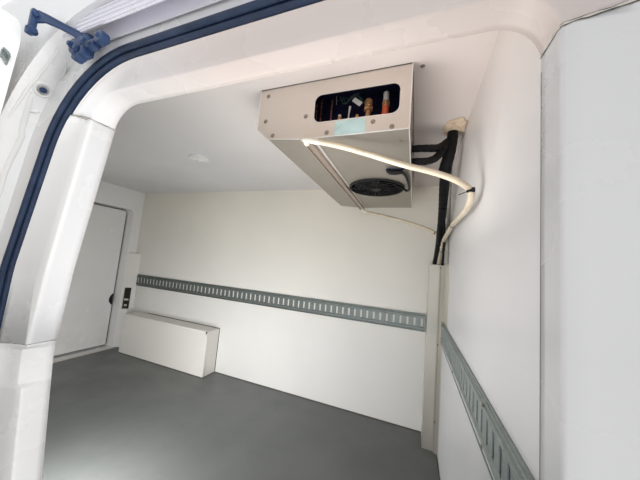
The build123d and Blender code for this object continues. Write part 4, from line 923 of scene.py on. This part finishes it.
def add_bay_fittings():
    """Valves, capillaries and service ports behind the window of the end plate."""
    floor_drop = 0.215

    def spot(back, depth, drop):
        return vec(front_x - back, evap_low.y + depth, ceiling_z - drop)

    copper = Form()
    for back, depth, top, radius in ((0.512, 0.060, 0.044, 0.0034), (0.557, 0.065, 0.030, 0.0030),
                                     (0.585, 0.085, 0.030, 0.0030)):
        copper.turned(spot(back, depth, floor_drop), upward,
                      ((radius, 0), (radius, floor_drop - top - 0.002), (radius * 0.8, floor_drop - top)), 18)
    copper.turned(spot(0.512, 0.060, 0.158), upward, ((0.008, 0), (0.010, 0.002), (0.010, 0.014), (0.006, 0.017)), 6)
    copper.piece("bay_copper_tubes", "copper")

    brass = Form()
    for back, drop, low_radius, height, top_radius in (
            (0.370, 0.134, 0.0100, 0.031, 0.0085), (0.370, 0.1045, 0.0170, 0.012, 0.0170),
            (0.370, 0.0905, 0.0140, 0.028, 0.0128), (0.309, 0.0985, 0.0140, 0.021, 0.0140),
            (0.477, 0.136, 0.0085, 0.022, 0.0070), (0.410, 0.150, 0.0075, 0.035, 0.0060)):
        brass.turned(spot(back, 0.060, drop), upward,
                     ((low_radius * 0.9, 0), (low_radius, 0.0015), (top_radius, height - 0.002),
                      (top_radius * 0.85, height), (0, height)), 6 if low_radius == top_radius else 22)
    for back in (0.370, 0.309, 0.477):
        brass.turned(spot(back, 0.060, floor_drop), upward, ((0.007, 0), (0.007, floor_drop - 0.128)), 18)
    low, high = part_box("valve_group")
    brass.block((low.x + 0.045, low.y + 0.012, low.z), (high.x - 0.045, high.y - 0.004, ceiling_z - 0.186), 0.004, 3)
    brass.piece("bay_brass_fittings", "brass", replaces=("valve_group",))

    caps = Form()
    caps.turned(spot(0.309, 0.060, 0.0785), upward,
                ((0.0092, 0), (0.0098, 0.002), (0.0100, 0.030), (0.0090, 0.034), (0, 0.034)), 24)
    caps.turned(spot(0.477, 0.060, 0.116), upward, ((0.0060, 0), (0.0065, 0.002), (0.0060, 0.008), (0, 0.009)), 20)
    caps.run([spot(0.443, 0.058, 0.214), spot(0.443, 0.058, 0.150), spot(0.441, 0.057, 0.110),
              spot(0.439, 0.056, 0.092), spot(0.438, 0.055, 0.082)], [0.0024, 0.0024, 0.0026, 0.0040, 0.0046], 14)
    caps.slab(oblong(0.019, 0.0085), spot(0.408, 0.040, 0.078), (0.77, 0.0, -0.64), (0.64, 0.0, 0.77), 0.0012)
    caps.run([spot(0.493, 0.050, 0.035), spot(0.491, 0.050, 0.055), spot(0.490, 0.050, 0.070)], 0.0007, 8)
    caps.piece("bay_white_caps", "white_plastic")

    port = Form()
    port.turned(spot(0.309, 0.060, 0.148), upward,
                ((0.0100, 0), (0.0122, 0.010), (0.0124, 0.030), (0.0112, 0.049), (0, 0.053)), 24)
    port.piece("bay_port_sleeve", "port")

    leads = Form()
    draw = random.Random(3)
    for strand in range(3):
        start = 0.478 - 0.010 * strand
        depth = 0.050 + 0.006 * strand
        line = [spot(start, depth, 0.040)]
        for part in range(1, 6):
            line.append(spot(start - 0.015 * part + 0.004 * draw.random(), depth,
                             0.052 + 0.018 * sin(part * 1.1 + strand) + 0.004 * draw.random()))
        leads.run(line, 0.0017, 8)
    leads.piece("bay_leads", "green")


def add_name_plate():
    """Blank pale plate under the window."""
    form = Form()
    form.slab(rounded(oblong(0.054, 0.028), 0.004, 4), on_plate(0.417, 0.1975), (1, 0, 0), upward, 0.0007)
    form.piece("blank_plate", "plate")


def add_fan_lead():
    """Short lead from the slot to the fan, with its grommet."""
    route = ((0.320, 0.950, -0.006), (0.316, 0.950, 0.010), (0.300, 0.950, 0.016), (0.276, 0.948, 0.015),
             (0.258, 0.940, 0.012), (0.243, 0.900, 0.014), (0.236, 0.830, 0.018), (0.230, 0.760, 0.020),
             (0.232, 0.700, 0.020), (0.244, 0.676, 0.017), (0.262, 0.700, 0.014), (0.278, 0.720, 0.008))
    dress(spline_curve("fan_lead", [hang(back, inboard, low_drop + below) for back, inboard, below in route], 0.006, 4,
                       12, (1.6, 1.8, 2.0, 1.9, 1.3, 1.0, 1.0, 1.0, 1.0, 1.0, 1.0, 0.9)), "black")
    back, inboard = 0.288, 0.947
    turn = [-pi / 2 + pi * i / 12 for i in range(13)]
    slot = [(side * (0.023 + 0.015 * cos(a)), side * 0.015 * sin(a)) for side in (1, -1) for a in turn]
    grommet = Form()
    grommet.run([hang(back + a, inboard + b, low_drop) for a, b in slot], 0.0022, 8, wrap=True)
    grommet.piece("slot_grommet", "rubber")
    # Dark plate just inside the slot: painted shade in the hole.
    pad = Form()
    pad.slab(slot, hang(back, inboard, low_drop - 0.004), (-1, 0, 0), (0, -1, 0), -0.002)
    pad.piece("slot_shade_plate", "bay")


def add_channel_trim():
    """White elbows at the drain channel's ends and a lip along it, pale as a painted highlight."""
    low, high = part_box("drain_channel")
    x = (low.x + high.x) / 2
    z = low.z + 0.006
    form = Form()
    for y, way in ((evap_low.y, -1), (evap_high.y, 1)):
        for first, last, radius in ((-0.004, 0.006, 0.0098), (0.006, 0.016, 0.0086)):
            form.run([vec(x, y + way * first, z), vec(x, y + way * last, z)], radius, 20)
    form.piece("channel_elbows", "sleeve")
    lips = Form()
    for side_x in (low.x - 0.010, high.x):
        lips.block((side_x, low.y + 0.012, evap_low.z - 0.0012), (side_x + 0.010, high.y - 0.012, evap_low.z), 0.0005)
    lips.piece("channel_lips", "edge_highlight_steel")


def add_ceiling_lamp():
    """Ceiling lamp: bezel, frosted lens and retaining clips."""
    low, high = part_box("ceiling_lamp")
    radius = (high.x - low.x) / 2
    depth = high.z - low.z
    top = vec((low.x + high.x) / 2, (low.y + high.y) / 2, high.z)
    bezel, glass, clips = Form(), Form(), Form()
    bezel.turned(top, downward, [(radius * share, depth * drop) for share, drop in (
        (1, 0), (1, 0.35), (0.94, 0.75), (0.84, 0.80), (0.78, 0.70), (0.76, 0.5))], 64)
    glass.turned(top - vec(0, 0, depth * 0.3), downward, [(radius * share, depth * drop) for share, drop in (
        (0.79, 0), (0.77, 0.42), (0.55, 0.58), (0.3, 0.66), (0, 0.69))], 64)
    for turn in range(3):
        angle = 2 * pi * turn / 3 + 0.5
        clips.screw(top + vec(cos(angle), sin(angle), 0) * radius * 0.90 - vec(0, 0, depth * 0.76), downward, 0.003,
                    False)
    bezel.piece("lamp_bezel", "white_plastic", replaces=("ceiling_lamp",))
    glass.piece("lamp_lens", "opal")
    clips.piece("lamp_screws", "screw")


# Side doorway: planes of its seal and ridge, heights of the moulded frame's joints and width of the seal
seal_y = -(left_y + 0.080)
ridge_y = -(left_y + 0.055)
clear_top = ceiling_z - 0.281
header_rear = clear_top - 0.068
header_front = clear_top - 0.062
foot_height = 0.850
seal_width = 0.018


def doorway(kind, inset=0.0, low=0.0):
    """Closed side door outline in X and Z: the clear way or the body opening, drawn inset.

    The corners are distances behind the bulkhead lining and above the floor, each with its radius.
    """
    if kind == "clear":
        rear, shoulder, lean, foot, front, top = 1.092, 0.023, 0.112, 0.062, 0.025, 1.505
        rear_radius, front_radius = 0.090, 0.070
    else:
        rear, shoulder, lean, foot, front, top = 1.172, 0.011, 0.142, 0.0, -0.100, 1.566
        rear_radius, front_radius = 0.285, 0.160
    corners = (
        (rear - foot - inset, low, 0.004),
        (front + inset, low, 0.004),
        (front + inset, top - inset, front_radius - inset),
        (rear - lean - inset, top - inset, rear_radius - inset),
        (rear - shoulder - inset, 1.040, 0.25),
        (rear - inset, 0.820, 0.25),
        (rear - foot - inset, 0.420, 0.25),
    )
    return [(front_x - point.x, floor_z + point.y) for point in arc_steps(corners, 12)]


# The moulded frame's section: share of the way from the clear way to the seal, and depth outward from the lining
reveal_depth = ridge_y + left_y
flare_depth = seal_y - ridge_y
frame_profile = [(-0.012, 0.0006), (-0.010, reveal_depth * 0.25), (-0.008, reveal_depth * 0.86)]
frame_profile += [(0.048 * (1 - cos(a)) - 0.008, reveal_depth * 0.86 - 0.0078 * sin(a)) for a in (0.35, 0.7, 1.05, 1.4)]
frame_profile += [(share, reveal_depth + flare_depth * depth) for share, depth in
                  ((0.30, 0.20), (0.62, 0.52), (0.93, 0.90), (0.985, 1.06), (1.0, 0.92))]
# How far each point of the profile follows the steps of the rear foot
foot_share = (0, 0.3, 1, 1, 1, 1, 1, 1, 0.6, 0.1, 0, 0)


def side_x(outline, height, rear):
    """X of the rear or front side of a doorway outline at a height above the floor."""
    z = floor_z + height
    found = []
    for index, (x, here) in enumerate(outline):
        before_x, before = outline[index - 1]
        if (here - z) * (before - z) <= 0 and here != before:
            found.append(before_x + (x - before_x) * (z - before) / (here - before))
    return min(found) if rear else max(found)


def frame_row(height, rear, step=0.0):
    """The frame's profile at one height of a post; a step moves its ridge towards the seal."""
    clear_x = side_x(doorway("clear"), height, rear)
    body_x = side_x(doorway("body", seal_width), height, rear)
    return [vec(clear_x + (body_x - clear_x) * share - step * follow, -left_y + depth, floor_z + height)
            for (share, depth), follow in zip(frame_profile, foot_share)]


def thicken(made):
    wall = made.modifiers.new("wall", "SOLIDIFY")
    wall.thickness = 0.003
    wall.offset = -1


def add_door_frame():
    """Moulded frame of the side doorway: reveal, rounded ridge and flare out to the seal, cut at its joints."""
    outlines = list(zip(doorway("clear"), doorway("body", seal_width)))
    rows = [[vec(cx + (bx - cx) * share, -left_y + depth, cz + (bz - cz) * share) for (cx, cz), (bx, bz) in outlines]
            for share, depth in frame_profile]
    middle_x = front_x - 0.56
    gap = 0.0006
    slope = vec(header_rear - header_front, 0, 1.06).normalized()
    for name, look, keep in (
            ("rear_post", "post", (((0, 0, floor_z + foot_height + gap), upward), ((0, 0, header_rear - gap), downward),
                                   ((middle_x, 0, 0), (-1, 0, 0)))),
            ("front_post", "post", (((0, 0, header_front - gap), downward), ((0, 0, floor_z + 0.002), upward),
                                    ((middle_x, 0, 0), (1, 0, 0)))),
            ("header", "header", (((front_x - 1.035, 0, header_rear + gap), slope),))):
        form = Form()
        form.rows(rows, ends=False)
        for point, normal in keep:
            whole = list(form.bm.verts) + list(form.bm.edges) + list(form.bm.faces)
            bmesh.ops.bisect_plane(form.bm, geom=whole, plane_co=point, plane_no=normal, clear_inner=True)
        thicken(form.piece("frame_" + name, look, replaces=("door_frame_" + name,), crease=60))

    # Rear foot, with a raised band below the joint
    foot = Form()
    levels = ((0.002, 0), (0.10, 0), (0.20, 0), (0.30, 0), (0.38, 0), (0.42, 0), (0.46, 0), (0.55, 0), (0.65, 0),
              (0.741, 0), (0.744, 0.05), (0.750, 0.95), (0.753, 1), (0.80, 1), (0.830, 1), (0.834, 0.95), (0.842, 0.05),
              (0.845, 0), (0.8494, 0))
    foot.rows([frame_row(height, True, 0.018 * step) for height, step in levels], closed=False)
    thicken(foot.piece("frame_rear_foot", "moulding", replaces=("door_frame_rear_foot",), crease=40))


def add_joint_sealant():
    """Cracked sealant along the joints of the moulded frame."""
    draw = random.Random(11)
    form = Form()
    dark = Form()
    for height, rear in ((header_rear - floor_z, True), (header_front - floor_z, False), (foot_height, True)):
        inward = vec(0.55 if rear else -0.55, -0.85, 0).normalized()
        drift = 0.0
        rough = []
        for point in dense(frame_row(height, rear)[:-2], 0.006):
            drift = 0.8 * drift + 0.0012 * (draw.random() - 0.5)
            rough.append(point + inward * 0.0004 + vec(0, 0, drift))
        widths = [0.0010 + 0.0014 * draw.random() ** 2 for _ in rough]
        form.run(rough, widths, 7)
        for side in (1, -1):
            crack = [point + inward * 0.0004 + vec(0, 0, side * width * 1.05) for point, width in zip(rough, widths)]
            dark.run(crack, [0.0003 + 0.0006 * draw.random() for _ in crack], 6)
    form.piece("joint_sealant", "sealant")
    dark.run([vec(side_x(doorway("clear"), height, False) - 0.0004, -left_y + 0.0006, floor_z + height)
              for height in (0.004, 0.3, 0.6, 0.9, 1.2, 1.36, 1.42)], 0.0013, 8)
    dark.piece("joint_cracks", "joint_shade_line")


def add_door_seal():
    """Two-lobed rubber seal round the side doorway."""
    middle = doorway("body", seal_width / 2, -0.025 + seal_width / 2)
    section = [(-0.0074, 0.0)]
    for across, lift, wide, tall, first, last in ((-0.0036, 0.0078, 0.0052, 0.0052, 205, 50),
                                                  (0.0028, 0.0180, 0.0062, 0.0068, 225, -10)):
        turn = [radians(first + (last - first) * step / 9) for step in range(10)]
        section += [(across + wide * cos(a), lift + tall * sin(a)) for a in turn]
    section += [(0.0090, 0.010), (0.0090, 0.0)]
    rows = []
    for index, (x, z) in enumerate(middle):
        along = (Vector(middle[(index + 1) % len(middle)]) - Vector(middle[index - 1])).normalized()
        rows.append([vec(x + along.y * across, seal_y - lift, z - along.x * across) for across, lift in section])
    form = Form()
    form.rows(rows, wrap=True)
    form.piece("door_seal", "rubber", replaces=("side_door_seal",), crease=50)


def add_arm_details():
    """Bolts, pivots, rollers and the carriage on the sliding door's upper arm."""
    form = Form()

    def spot(back, y, height):
        return vec(front_x - back, y, floor_z + height)

    # Cast lever from the door to the carriage, with a raised rib on each edge
    lever = [spot(0.992, -1.004, 1.604), spot(0.972, -0.998, 1.600), spot(0.948, -0.985, 1.591),
             spot(0.925, -0.970, 1.582), spot(0.900, -0.955, 1.570)]
    scales = [0.95, 0.60, 0.46, 0.46, 0.7]
    form.sweep(lever, oblong(0.003, 0.013), scales, upright=upward)
    for rise in (-0.013, 0.013):
        form.run([point + vec(0, 0, rise * scale) for point, scale in zip(lever, scales)], 0.0030, 10)
    # Foot bent down over the edge of the door, and the carriage
    for low, high, rounding in (
            ((1.004, -1.014, 1.570), (0.991, -1.002, 1.618), 0.003),
            ((1.001, -1.018, 1.556), (0.986, -1.004, 1.574), 0.004),
            ((0.945, -0.968, 1.540), (0.897, -0.946, 1.574), 0.008),
            ((0.925, -0.966, 1.528), (0.890, -0.944, 1.550), 0.005),
            ((0.903, -0.962, 1.544), (0.862, -0.944, 1.562), 0.005),
            ((0.872, -0.960, 1.552), (0.838, -0.944, 1.564), 0.003)):
        form.block(spot(*low), spot(*high), rounding)
    form.turned(spot(0.903, -0.950, 1.538), upward,
                ((0.011, 0), (0.012, 0.002), (0.012, 0.044), (0.010, 0.046), (0, 0.046)), 24)
    form.bolt(spot(0.991, -1.009, 1.566), (1, 0, 0), 0.0075, 0.007)
    form.bolt(spot(0.991, -1.009, 1.604), (1, 0, 0), 0.005, 0.004)
    for back, height in ((0.905, 1.540), (0.932, 1.556), (0.880, 1.553)):
        form.bolt(spot(back, -0.968, height), (0, -1, 0), 0.0055, 0.004)
    # Bracket on the waist track
    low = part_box("sliding_door_arm")[0]
    track_low, track_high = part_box("waist_track")
    middle = (track_low.z + track_high.z) / 2
    form.block((low.x, low.y, middle - 0.013), (low.x + 0.050, track_low.y - 0.001, middle + 0.013), 0.004)
    form.turned((low.x + 0.025, track_low.y - 0.004, middle - 0.018), upward,
                ((0.009, 0), (0.010, 0.002), (0.010, 0.034), (0.009, 0.036), (0, 0.036)), 20)
    form.piece("arm_castings", "arm", replaces=("sliding_door_arm",))
    rollers = Form()
    for back, height in ((0.840, 1.558), (0.916, 1.532)):
        rollers.turned(spot(back, -0.966, height), (0, 1, 0),
                       ((0.004, -0.004), (0.006, 0.0), (0.0125, 0.001), (0.0135, 0.004), (0.0135, 0.014),
                        (0.0125, 0.017), (0.005, 0.018), (0.004, 0.022)), 28)
    rollers.piece("arm_rollers", "arm")


def add_jamb_details():
    """Plug and pressed ridges of the painted jamb, the door's edge latch and the beads of the roof rail."""
    plug = place(1.0889, 1.7660, 1.4922)
    plug_out = vec(0.80, 0.0, -0.59).normalized()
    form = Form()
    form.turned(plug, plug_out, ((0.0110, 0.0), (0.0120, 0.001), (0.0105, 0.0028), (0.0080, 0.0028), (0.0075, 0.001),
                                 (0, 0.001)), 32)
    form.piece("jamb_plug", "alloy")
    hollow = Form()
    hollow.turned(plug, plug_out, ((0.0070, 0.0), (0.0070, 0.0014), (0.003, 0.0024), (0, 0.0024)), 24)
    hollow.piece("jamb_plug_middle", "arm")
    ridges = Form()
    for line, radius in (
            (((1.098, 1.779, 1.479), (1.116, 1.776, 1.452), (1.132, 1.772, 1.419), (1.142, 1.770, 1.394),
              (1.147, 1.766, 1.376), (1.154, 1.768, 1.348), (1.163, 1.772, 1.310), (1.171, 1.775, 1.272),
              (1.178, 1.774, 1.240), (1.190, 1.774, 1.170)), 0.0064),
            (((1.000, 1.786, 1.574), (1.013, 1.782, 1.565), (1.048, 1.782, 1.537), (1.075, 1.784, 1.509),
              (1.092, 1.788, 1.488), (1.118, 1.792, 1.446), (1.138, 1.797, 1.405)), 0.0036),
            (((1.122, 1.770, 1.437), (1.121, 1.762, 1.441), (1.118, 1.753, 1.446)), 0.0050),
            (((1.021, 1.761, 1.559), (1.031, 1.755, 1.545), (1.045, 1.7515, 1.536), (1.058, 1.7515, 1.527)), 0.0030)):
        ridges.run([place(*spot) + vec(-0.9, 0, 0.35) * radius * 0.45 for spot in line],
                   [radius * 0.6] + [radius] * (len(line) - 2) + [radius * 0.6], 14)
    plug_up = plug_out.orthogonal().normalized()
    plug_side = plug_out.cross(plug_up)
    ridges.run([plug + (plug_up * c + plug_side * s) * 0.0165 for c, s in circle(28)], 0.0022, 10, wrap=True)
    ridges.piece("jamb_ridges", "paint", crease=80)
    latch = Form()
    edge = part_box("sliding_door")[1].x
    latch.block((edge, -1.041, 1.638), (edge + 0.002, -1.028, 1.656), 0.0008)
    for curl in (((0, -1.038, 1.652), (0.010, -1.040, 1.656), (0.012, -1.035, 1.652), (0.010, -1.031, 1.645),
                  (0, -1.030, 1.642)),
                 ((0, -1.036, 1.640), (0.008, -1.037, 1.638), (0.008, -1.032, 1.632), (0, -1.031, 1.630))):
        latch.run([vec(edge + out, y, z) for out, y, z in curl], 0.0020, 10)
    latch.piece("door_edge_latch", "zinc")
    rail = Form()
    low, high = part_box("upper_track")
    for share in (0.12, 0.38, 0.62, 0.88):
        z = low.z + (high.z - low.z) * share
        rail.run([vec(low.x + 0.01, low.y - 0.0006, z), vec(high.x - 0.01, low.y - 0.0006, z)], 0.0022, 8)
    rail.piece("track_beads", "track")


def add_rail_details():
    """Rolled edges and screws of the lashing rails."""
    slot_pitch = 0.050
    edge, rib, screw_row = 0.0022, 0.036, 0.049
    for side, along, out in (("left", vec(1, 0, 0), vec(0, -1, 0)), ("right", vec(1, 0, 0), vec(0, 1, 0)),
                             ("bulkhead", vec(0, 1, 0), vec(-1, 0, 0))):
        low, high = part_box("lashing_rail_" + side)
        z = (low.z + high.z) / 2
        face = vec(*[max(a * o, b * o) * o for a, b, o in zip(low, high, out)])
        start, end = [vec(*[s if a else f for s, a, f in zip(corner, along, face)]) for corner in (low, high)]
        start.z = end.z = z
        half = (high.z - low.z) / 2
        form, screws = Form(), Form()
        for rise, sink, radius, steps in ((half - edge, 0.001, edge, 10), (edge - half, 0.001, edge, 10),
                                          (rib, 0.0004, 0.0014, 8), (-rib, 0.0004, 0.0014, 8)):
            shift = vec(0, 0, rise) - out * sink
            form.run([start + shift, end + shift], radius, steps)
        length = (end - start).length
        count = int(length / slot_pitch)
        inset = (length - (count - 1) * slot_pitch) / 2
        for index in range(5, count, 10):
            for rise in (screw_row, -screw_row):
                screws.screw(start + along * (inset + slot_pitch * (index + 0.5)) + vec(0, 0, rise), out, 0.0048)
        screws.piece(f"lashing_rail_{side}_screws", "screw")
        form.piece(f"lashing_rail_{side}_edges", "zinc")


def add_floor_edges():
    """Dark grey sealant bead along the foot of the walls, the boxes and the bulkhead, deepened as painted corner shade,
    and trims of the left wheel box.
    """
    bead, gap = 0.0016, 0.0012
    z = floor_z + 0.0018
    low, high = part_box("wheel_box_left")
    near_low, near_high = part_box("wheel_box_right")
    wall, front = left_y - bead, front_x - bead
    form = Form()
    for line in (
            ((front, wall), (high.x + bead, wall), (high.x + bead, low.y - bead), (low.x + 0.010, low.y - bead)),
            ((front, wall), (front, -left_y + 0.010)),
            ((near_low.x + 0.010, near_high.y + bead), (near_high.x + bead, near_high.y + bead),
             (near_high.x + bead, -wall), (front_x - 1.10, -wall))):
        form.run([vec(x, y, z) for x, y in line], 0.0050, 8)
    form.piece("floor_sealant", "joint_shade_line")

    # Open joint behind and beside the left wheel box, drawn as dark lines: painted shade in the gap
    gaps = Form()
    top = high.z + gap
    gaps.run([vec(low.x + 0.16, wall, top), vec(high.x, wall, top), vec(high.x + gap, wall, top),
              vec(high.x + gap, wall, z)], 0.0034, 8)
    edge_y = low.y + 0.002
    gaps.run([vec(low.x + 0.01, edge_y, high.z - 0.001), vec(high.x - 0.002, edge_y, high.z - 0.001),
              vec(high.x - 0.001, edge_y, z)], 0.0004, 6)
    gaps.piece("wheel_box_joints", "joint_shade_line")
    trims = Form()
    proud, reach = 0.0014, 0.022
    for first, last in (
            ((high.x - reach, low.y - proud, z), (high.x + proud, low.y, high.z)),
            ((high.x, low.y - proud, z), (high.x + proud, low.y + reach, high.z)),
            ((low.x + 0.005, low.y - proud, high.z - 0.020), (high.x, low.y, high.z + 0.0010)),
            ((low.x + 0.005, low.y - proud, high.z), (high.x + proud, low.y + reach, high.z + 0.0010))):
        trims.block(first, last, 0.0005)
    trims.piece("wheel_box_edge_trims", "lining")


def add_duct_details():
    """Screws and seam of the corner duct."""
    form = Form()
    for height in (1.160, 0.657, 0.180):
        form.screw(place(0.0200, 0.1793, height), (-0.76, -0.65, 0), 0.0050, False)
    form.piece("duct_screws", "rust")
    seam = Form()
    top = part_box("corner_duct")[1].z - floor_z - 0.002
    seam.run([place(0.0205, 0.1785, 0.004), place(0.0205, 0.1785, top)], 0.0009, 6)
    seam.piece("duct_seam", "joint_shade_line")


def add_rear_doorway_details():
    """Latch pocket and foot plate at the rear doorway."""
    along = vec(-0.69, -0.73, 0).normalized()
    out = vec(0.73, -0.69, 0).normalized()
    middle = place(3.2719, 0.0401, 0.540) + out * 0.0006
    outline = oblong(0.038, 0.122)
    # The pocket's recess is a flat dark slab: painted shade.
    pocket = Form()
    pocket.slab(outline, middle, -along, upward, 0.0008)
    pocket.piece("latch_pocket", "pocket")
    catch = Form()
    for rise, wide in ((-0.018, 0.020), (-0.082, 0.013)):
        catch.slab(((-wide, -0.009), (wide, -0.012), (wide, 0.009), (-wide, 0.012)),
                   middle + out * 0.001 + vec(0, 0, rise), -along, upward, 0.003)
    catch.piece("latch_catch", "duct")
    rim = Form()
    rim.run([middle + along * a + vec(0, 0, b) for a, b in rounded(outline, 0.004, 3)], 0.0022, 8, wrap=True)
    rim.piece("latch_pocket_rim", "lining")
    sill = Form()
    inner = left_y - 0.100
    sill.block((rear_x - 0.002, -inner, floor_z + 0.0002), (rear_x + 0.034, inner, floor_z + 0.0018), 0.0006)
    sill.piece("rear_sill_strip", "duct")


def add_door_gaskets():
    """Gaskets of the rear doors."""
    x = rear_x - 0.108
    low, high = floor_z + 0.014, ceiling_z - 0.241
    for side, name in ((1, "left"), (-1, "right")):
        inner, outer = side * 0.014, side * (left_y - 0.103)
        form = Form()
        line = arc_steps(((inner, low, 0.02), (outer, low, 0.02), (outer, high, 0.035), (inner, high, 0.02)), 6)
        form.run([vec(x, y, z) for y, z in line], 0.0026, 10, wrap=True)
        form.piece(name + "_door_gasket", "seal_grey", name + "_leaf")


def add_rear_fittings():
    """Tail lamp lenses, hinge bolts, the door handle and the tread of the bumper."""
    low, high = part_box("tail_lamps")
    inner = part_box("rear_door_left")[1].y - 0.057
    housing = Form()
    lenses = {"red": Form(), "amber": Form(), "opal": Form()}
    tall = high.z - low.z
    for side in (1, -1):
        first_y, last_y = sorted((side * inner, side * high.y))
        housing.block((low.x + 0.012, first_y, low.z), (high.x, last_y, high.z), 0.003)
        for look, first, last in (("red", 0.62, 0.985), ("amber", 0.42, 0.605), ("opal", 0.24, 0.405),
                                  ("red", 0.015, 0.225)):
            lenses[look].block((low.x, first_y + 0.004, low.z + tall * first),
                               (low.x + 0.014, last_y - 0.002, low.z + tall * last), 0.005, 3)
    housing.piece("tail_lamp_housings", "black", replaces=("tail_lamps",))
    for look, form in lenses.items():
        form.piece("tail_lamp_" + look, look)

    for side, name in ((1, "left"), (-1, "right")):
        low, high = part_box("hinge_straps_" + name)
        bolts = Form()
        inner = low.y if side > 0 else high.y
        for z in (low.z + 0.019, high.z - 0.019):
            for inset in (0.022, 0.062, 0.102):
                bolts.bolt((low.x, inner + side * inset, z), (-1, 0, 0), 0.0068, 0.0050)
        bolts.piece("hinge_bolts_" + name, "paint", name + "_leaf")

    low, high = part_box("rear_door_handle")
    middle = (low + high) / 2
    wide, tall = (high.y - low.y) / 2, (high.z - low.z) / 2
    plate = Form()
    plate.slab(rounded(oblong(wide, tall), 0.018, 6), (high.x, middle.y, middle.z), (0, -1, 0), upward, 0.006, 0.0015)
    grip = [vec(high.x - lift, middle.y, middle.z + rise) for lift, rise in
            ((0.004, 0.078), (0.0105, 0.070), (0.0118, 0.050), (0.0118, -0.010), (0.0105, -0.030), (0.004, -0.038))]
    plate.sweep(grip, ((-0.012, -0.003), (-0.009, 0.0035), (0.009, 0.0035), (0.012, -0.003)), upright=(0, 1, 0))
    plate.piece("door_handle", "black", "right_leaf", ("rear_door_handle",))
    lock = Form()
    lock.turned((high.x - 0.005, middle.y, middle.z - 0.064), (-1, 0, 0),
                ((0.0095, 0), (0.0100, 0.003), (0.0085, 0.0048), (0.0030, 0.0048), (0.0026, 0.003), (0, 0.003)), 28)
    lock.piece("door_lock", "alloy", "right_leaf")

    low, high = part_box("rear_bumper")
    tread = Form()
    ribs, rib_pitch, rib_width = 7, 0.0095, 0.0045
    for index in range(ribs):
        x = low.x + 0.024 + rib_pitch * index
        tread.block((x, low.y + 0.060, high.z - 0.0006), (x + rib_width, high.y - 0.060, high.z + 0.0016), 0.0006)
    tread.piece("bumper_tread", "black")


def add_condenser_details():
    """Wire guards, coil and screws of the roof condenser."""
    low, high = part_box("condenser_housing")
    for name in ("left", "right"):
        fan_low, fan_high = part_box("condenser_fan_" + name)
        middle = (fan_low + fan_high) / 2
        add_wire_guard("condenser_guard_" + name, vec(middle.x, middle.y, high.z - 0.0098), 1)
    coil = Form()
    tubes, tube_pitch, fins, fin_pitch = 5, 0.026, 84, 0.01
    for row in range(tubes):
        z = low.z + 0.045 + tube_pitch * row
        coil.run([vec(high.x - 0.060, -0.43, z), vec(high.x - 0.060, 0.43, z)], 0.0045, 10)
    for index in range(fins):
        y = -0.42 + fin_pitch * index
        coil.block((high.x - 0.076, y, low.z + 0.034), (high.x - 0.044, y + 0.0012, high.z - 0.050), 0.0003, 1)
    coil.piece("condenser_coil", "alloy")
    screws = Form()
    sunk = 0.0022
    z = low.z + 0.052
    for x in (low.x + 0.11, (low.x + high.x) / 2, high.x - 0.11):
        for side in (1, -1):
            screws.screw((x, side * (high.y - sunk), z), (0, side, 0))
    for y in (-0.40, 0.0, 0.40):
        screws.screw((low.x + sunk, y, z), (-1, 0, 0))
    screws.piece("condenser_screws", "alloy")


def add_side_mouldings():
    """Rubbing strips along the outer sides, laid on the skin."""
    form = Form()
    height = 0.475
    steps = 24
    for node, side, limit, first, last in (("left_wall", 1, cad_box[1][1], -1.610, 1.815),
                                           ("right_wall", -1, -cad_box[0][1], -1.610, -0.790)):
        mesh = nodes[node].data
        skin = BVHTree.FromPolygons([vert.co for vert in mesh.vertices], [face.vertices for face in mesh.polygons])
        rows = []
        for step in range(steps + 1):
            x = first + (last - first) * step / steps
            ease = 0.35 if step in (0, steps) else 1.0
            row = []
            for rise, lift in ((-0.038, -0.001), (-0.036, 0.005), (-0.026, 0.0082), (0.026, 0.0082), (0.036, 0.005),
                               (0.038, -0.001)):
                hit = skin.ray_cast(vec(x, side * 2.0, height + rise), vec(0, -side, 0))[0]
                reach = abs(hit.y) + (lift * ease if lift > 0 else lift)
                row.append(vec(x, side * min(limit - 0.0005, reach), height + rise))
            rows.append(row)
        form.rows(rows)
    form.piece("side_mouldings", "black", crease=50)


def add_ground():
    reach = 14
    mesh = bpy.data.meshes.new("ground")
    mesh.from_pydata([(x, y, -0.001) for x, y in oblong(reach, reach)], [], [(0, 1, 2, 3)])
    ground = link("ground", mesh)
    s = Shader("pale_ground")
    s.feed(s.surface.inputs["Base Color"],
           s.blend(s.spread(s.noise(0.8), 0.3, 0.7), (0.74, 0.74, 0.74), (0.80, 0.80, 0.80)))
    s.surface.inputs["Roughness"].default_value = 0.7
    mesh.materials.append(s.material)


for add in (add_hoses, add_pipes, add_hose_fittings, add_foam_patch, add_conduit, add_evaporator_trim, add_bay_fittings,
            add_name_plate, add_fan_lead, add_channel_trim):
    add()
add_wire_guard("evaporator_guard", fan_centre - vec(0, 0, 0.004), -1)
add_fan_lip()
add_fan("evaporator_blades", "evaporator_fan", "evaporator_rotor")
add_fan("condenser_blades_left", "condenser_fan_left", "condenser_rotor_left")
add_fan("condenser_blades_right", "condenser_fan_right", "condenser_rotor_right")
for add in (add_ceiling_lamp, add_door_frame, add_joint_sealant, add_door_seal, add_arm_details, add_jamb_details,
            add_rail_details, add_floor_edges, add_duct_details, add_rear_doorway_details, add_door_gaskets,
            add_rear_fittings, add_condenser_details, add_side_mouldings, add_ground):
    add()
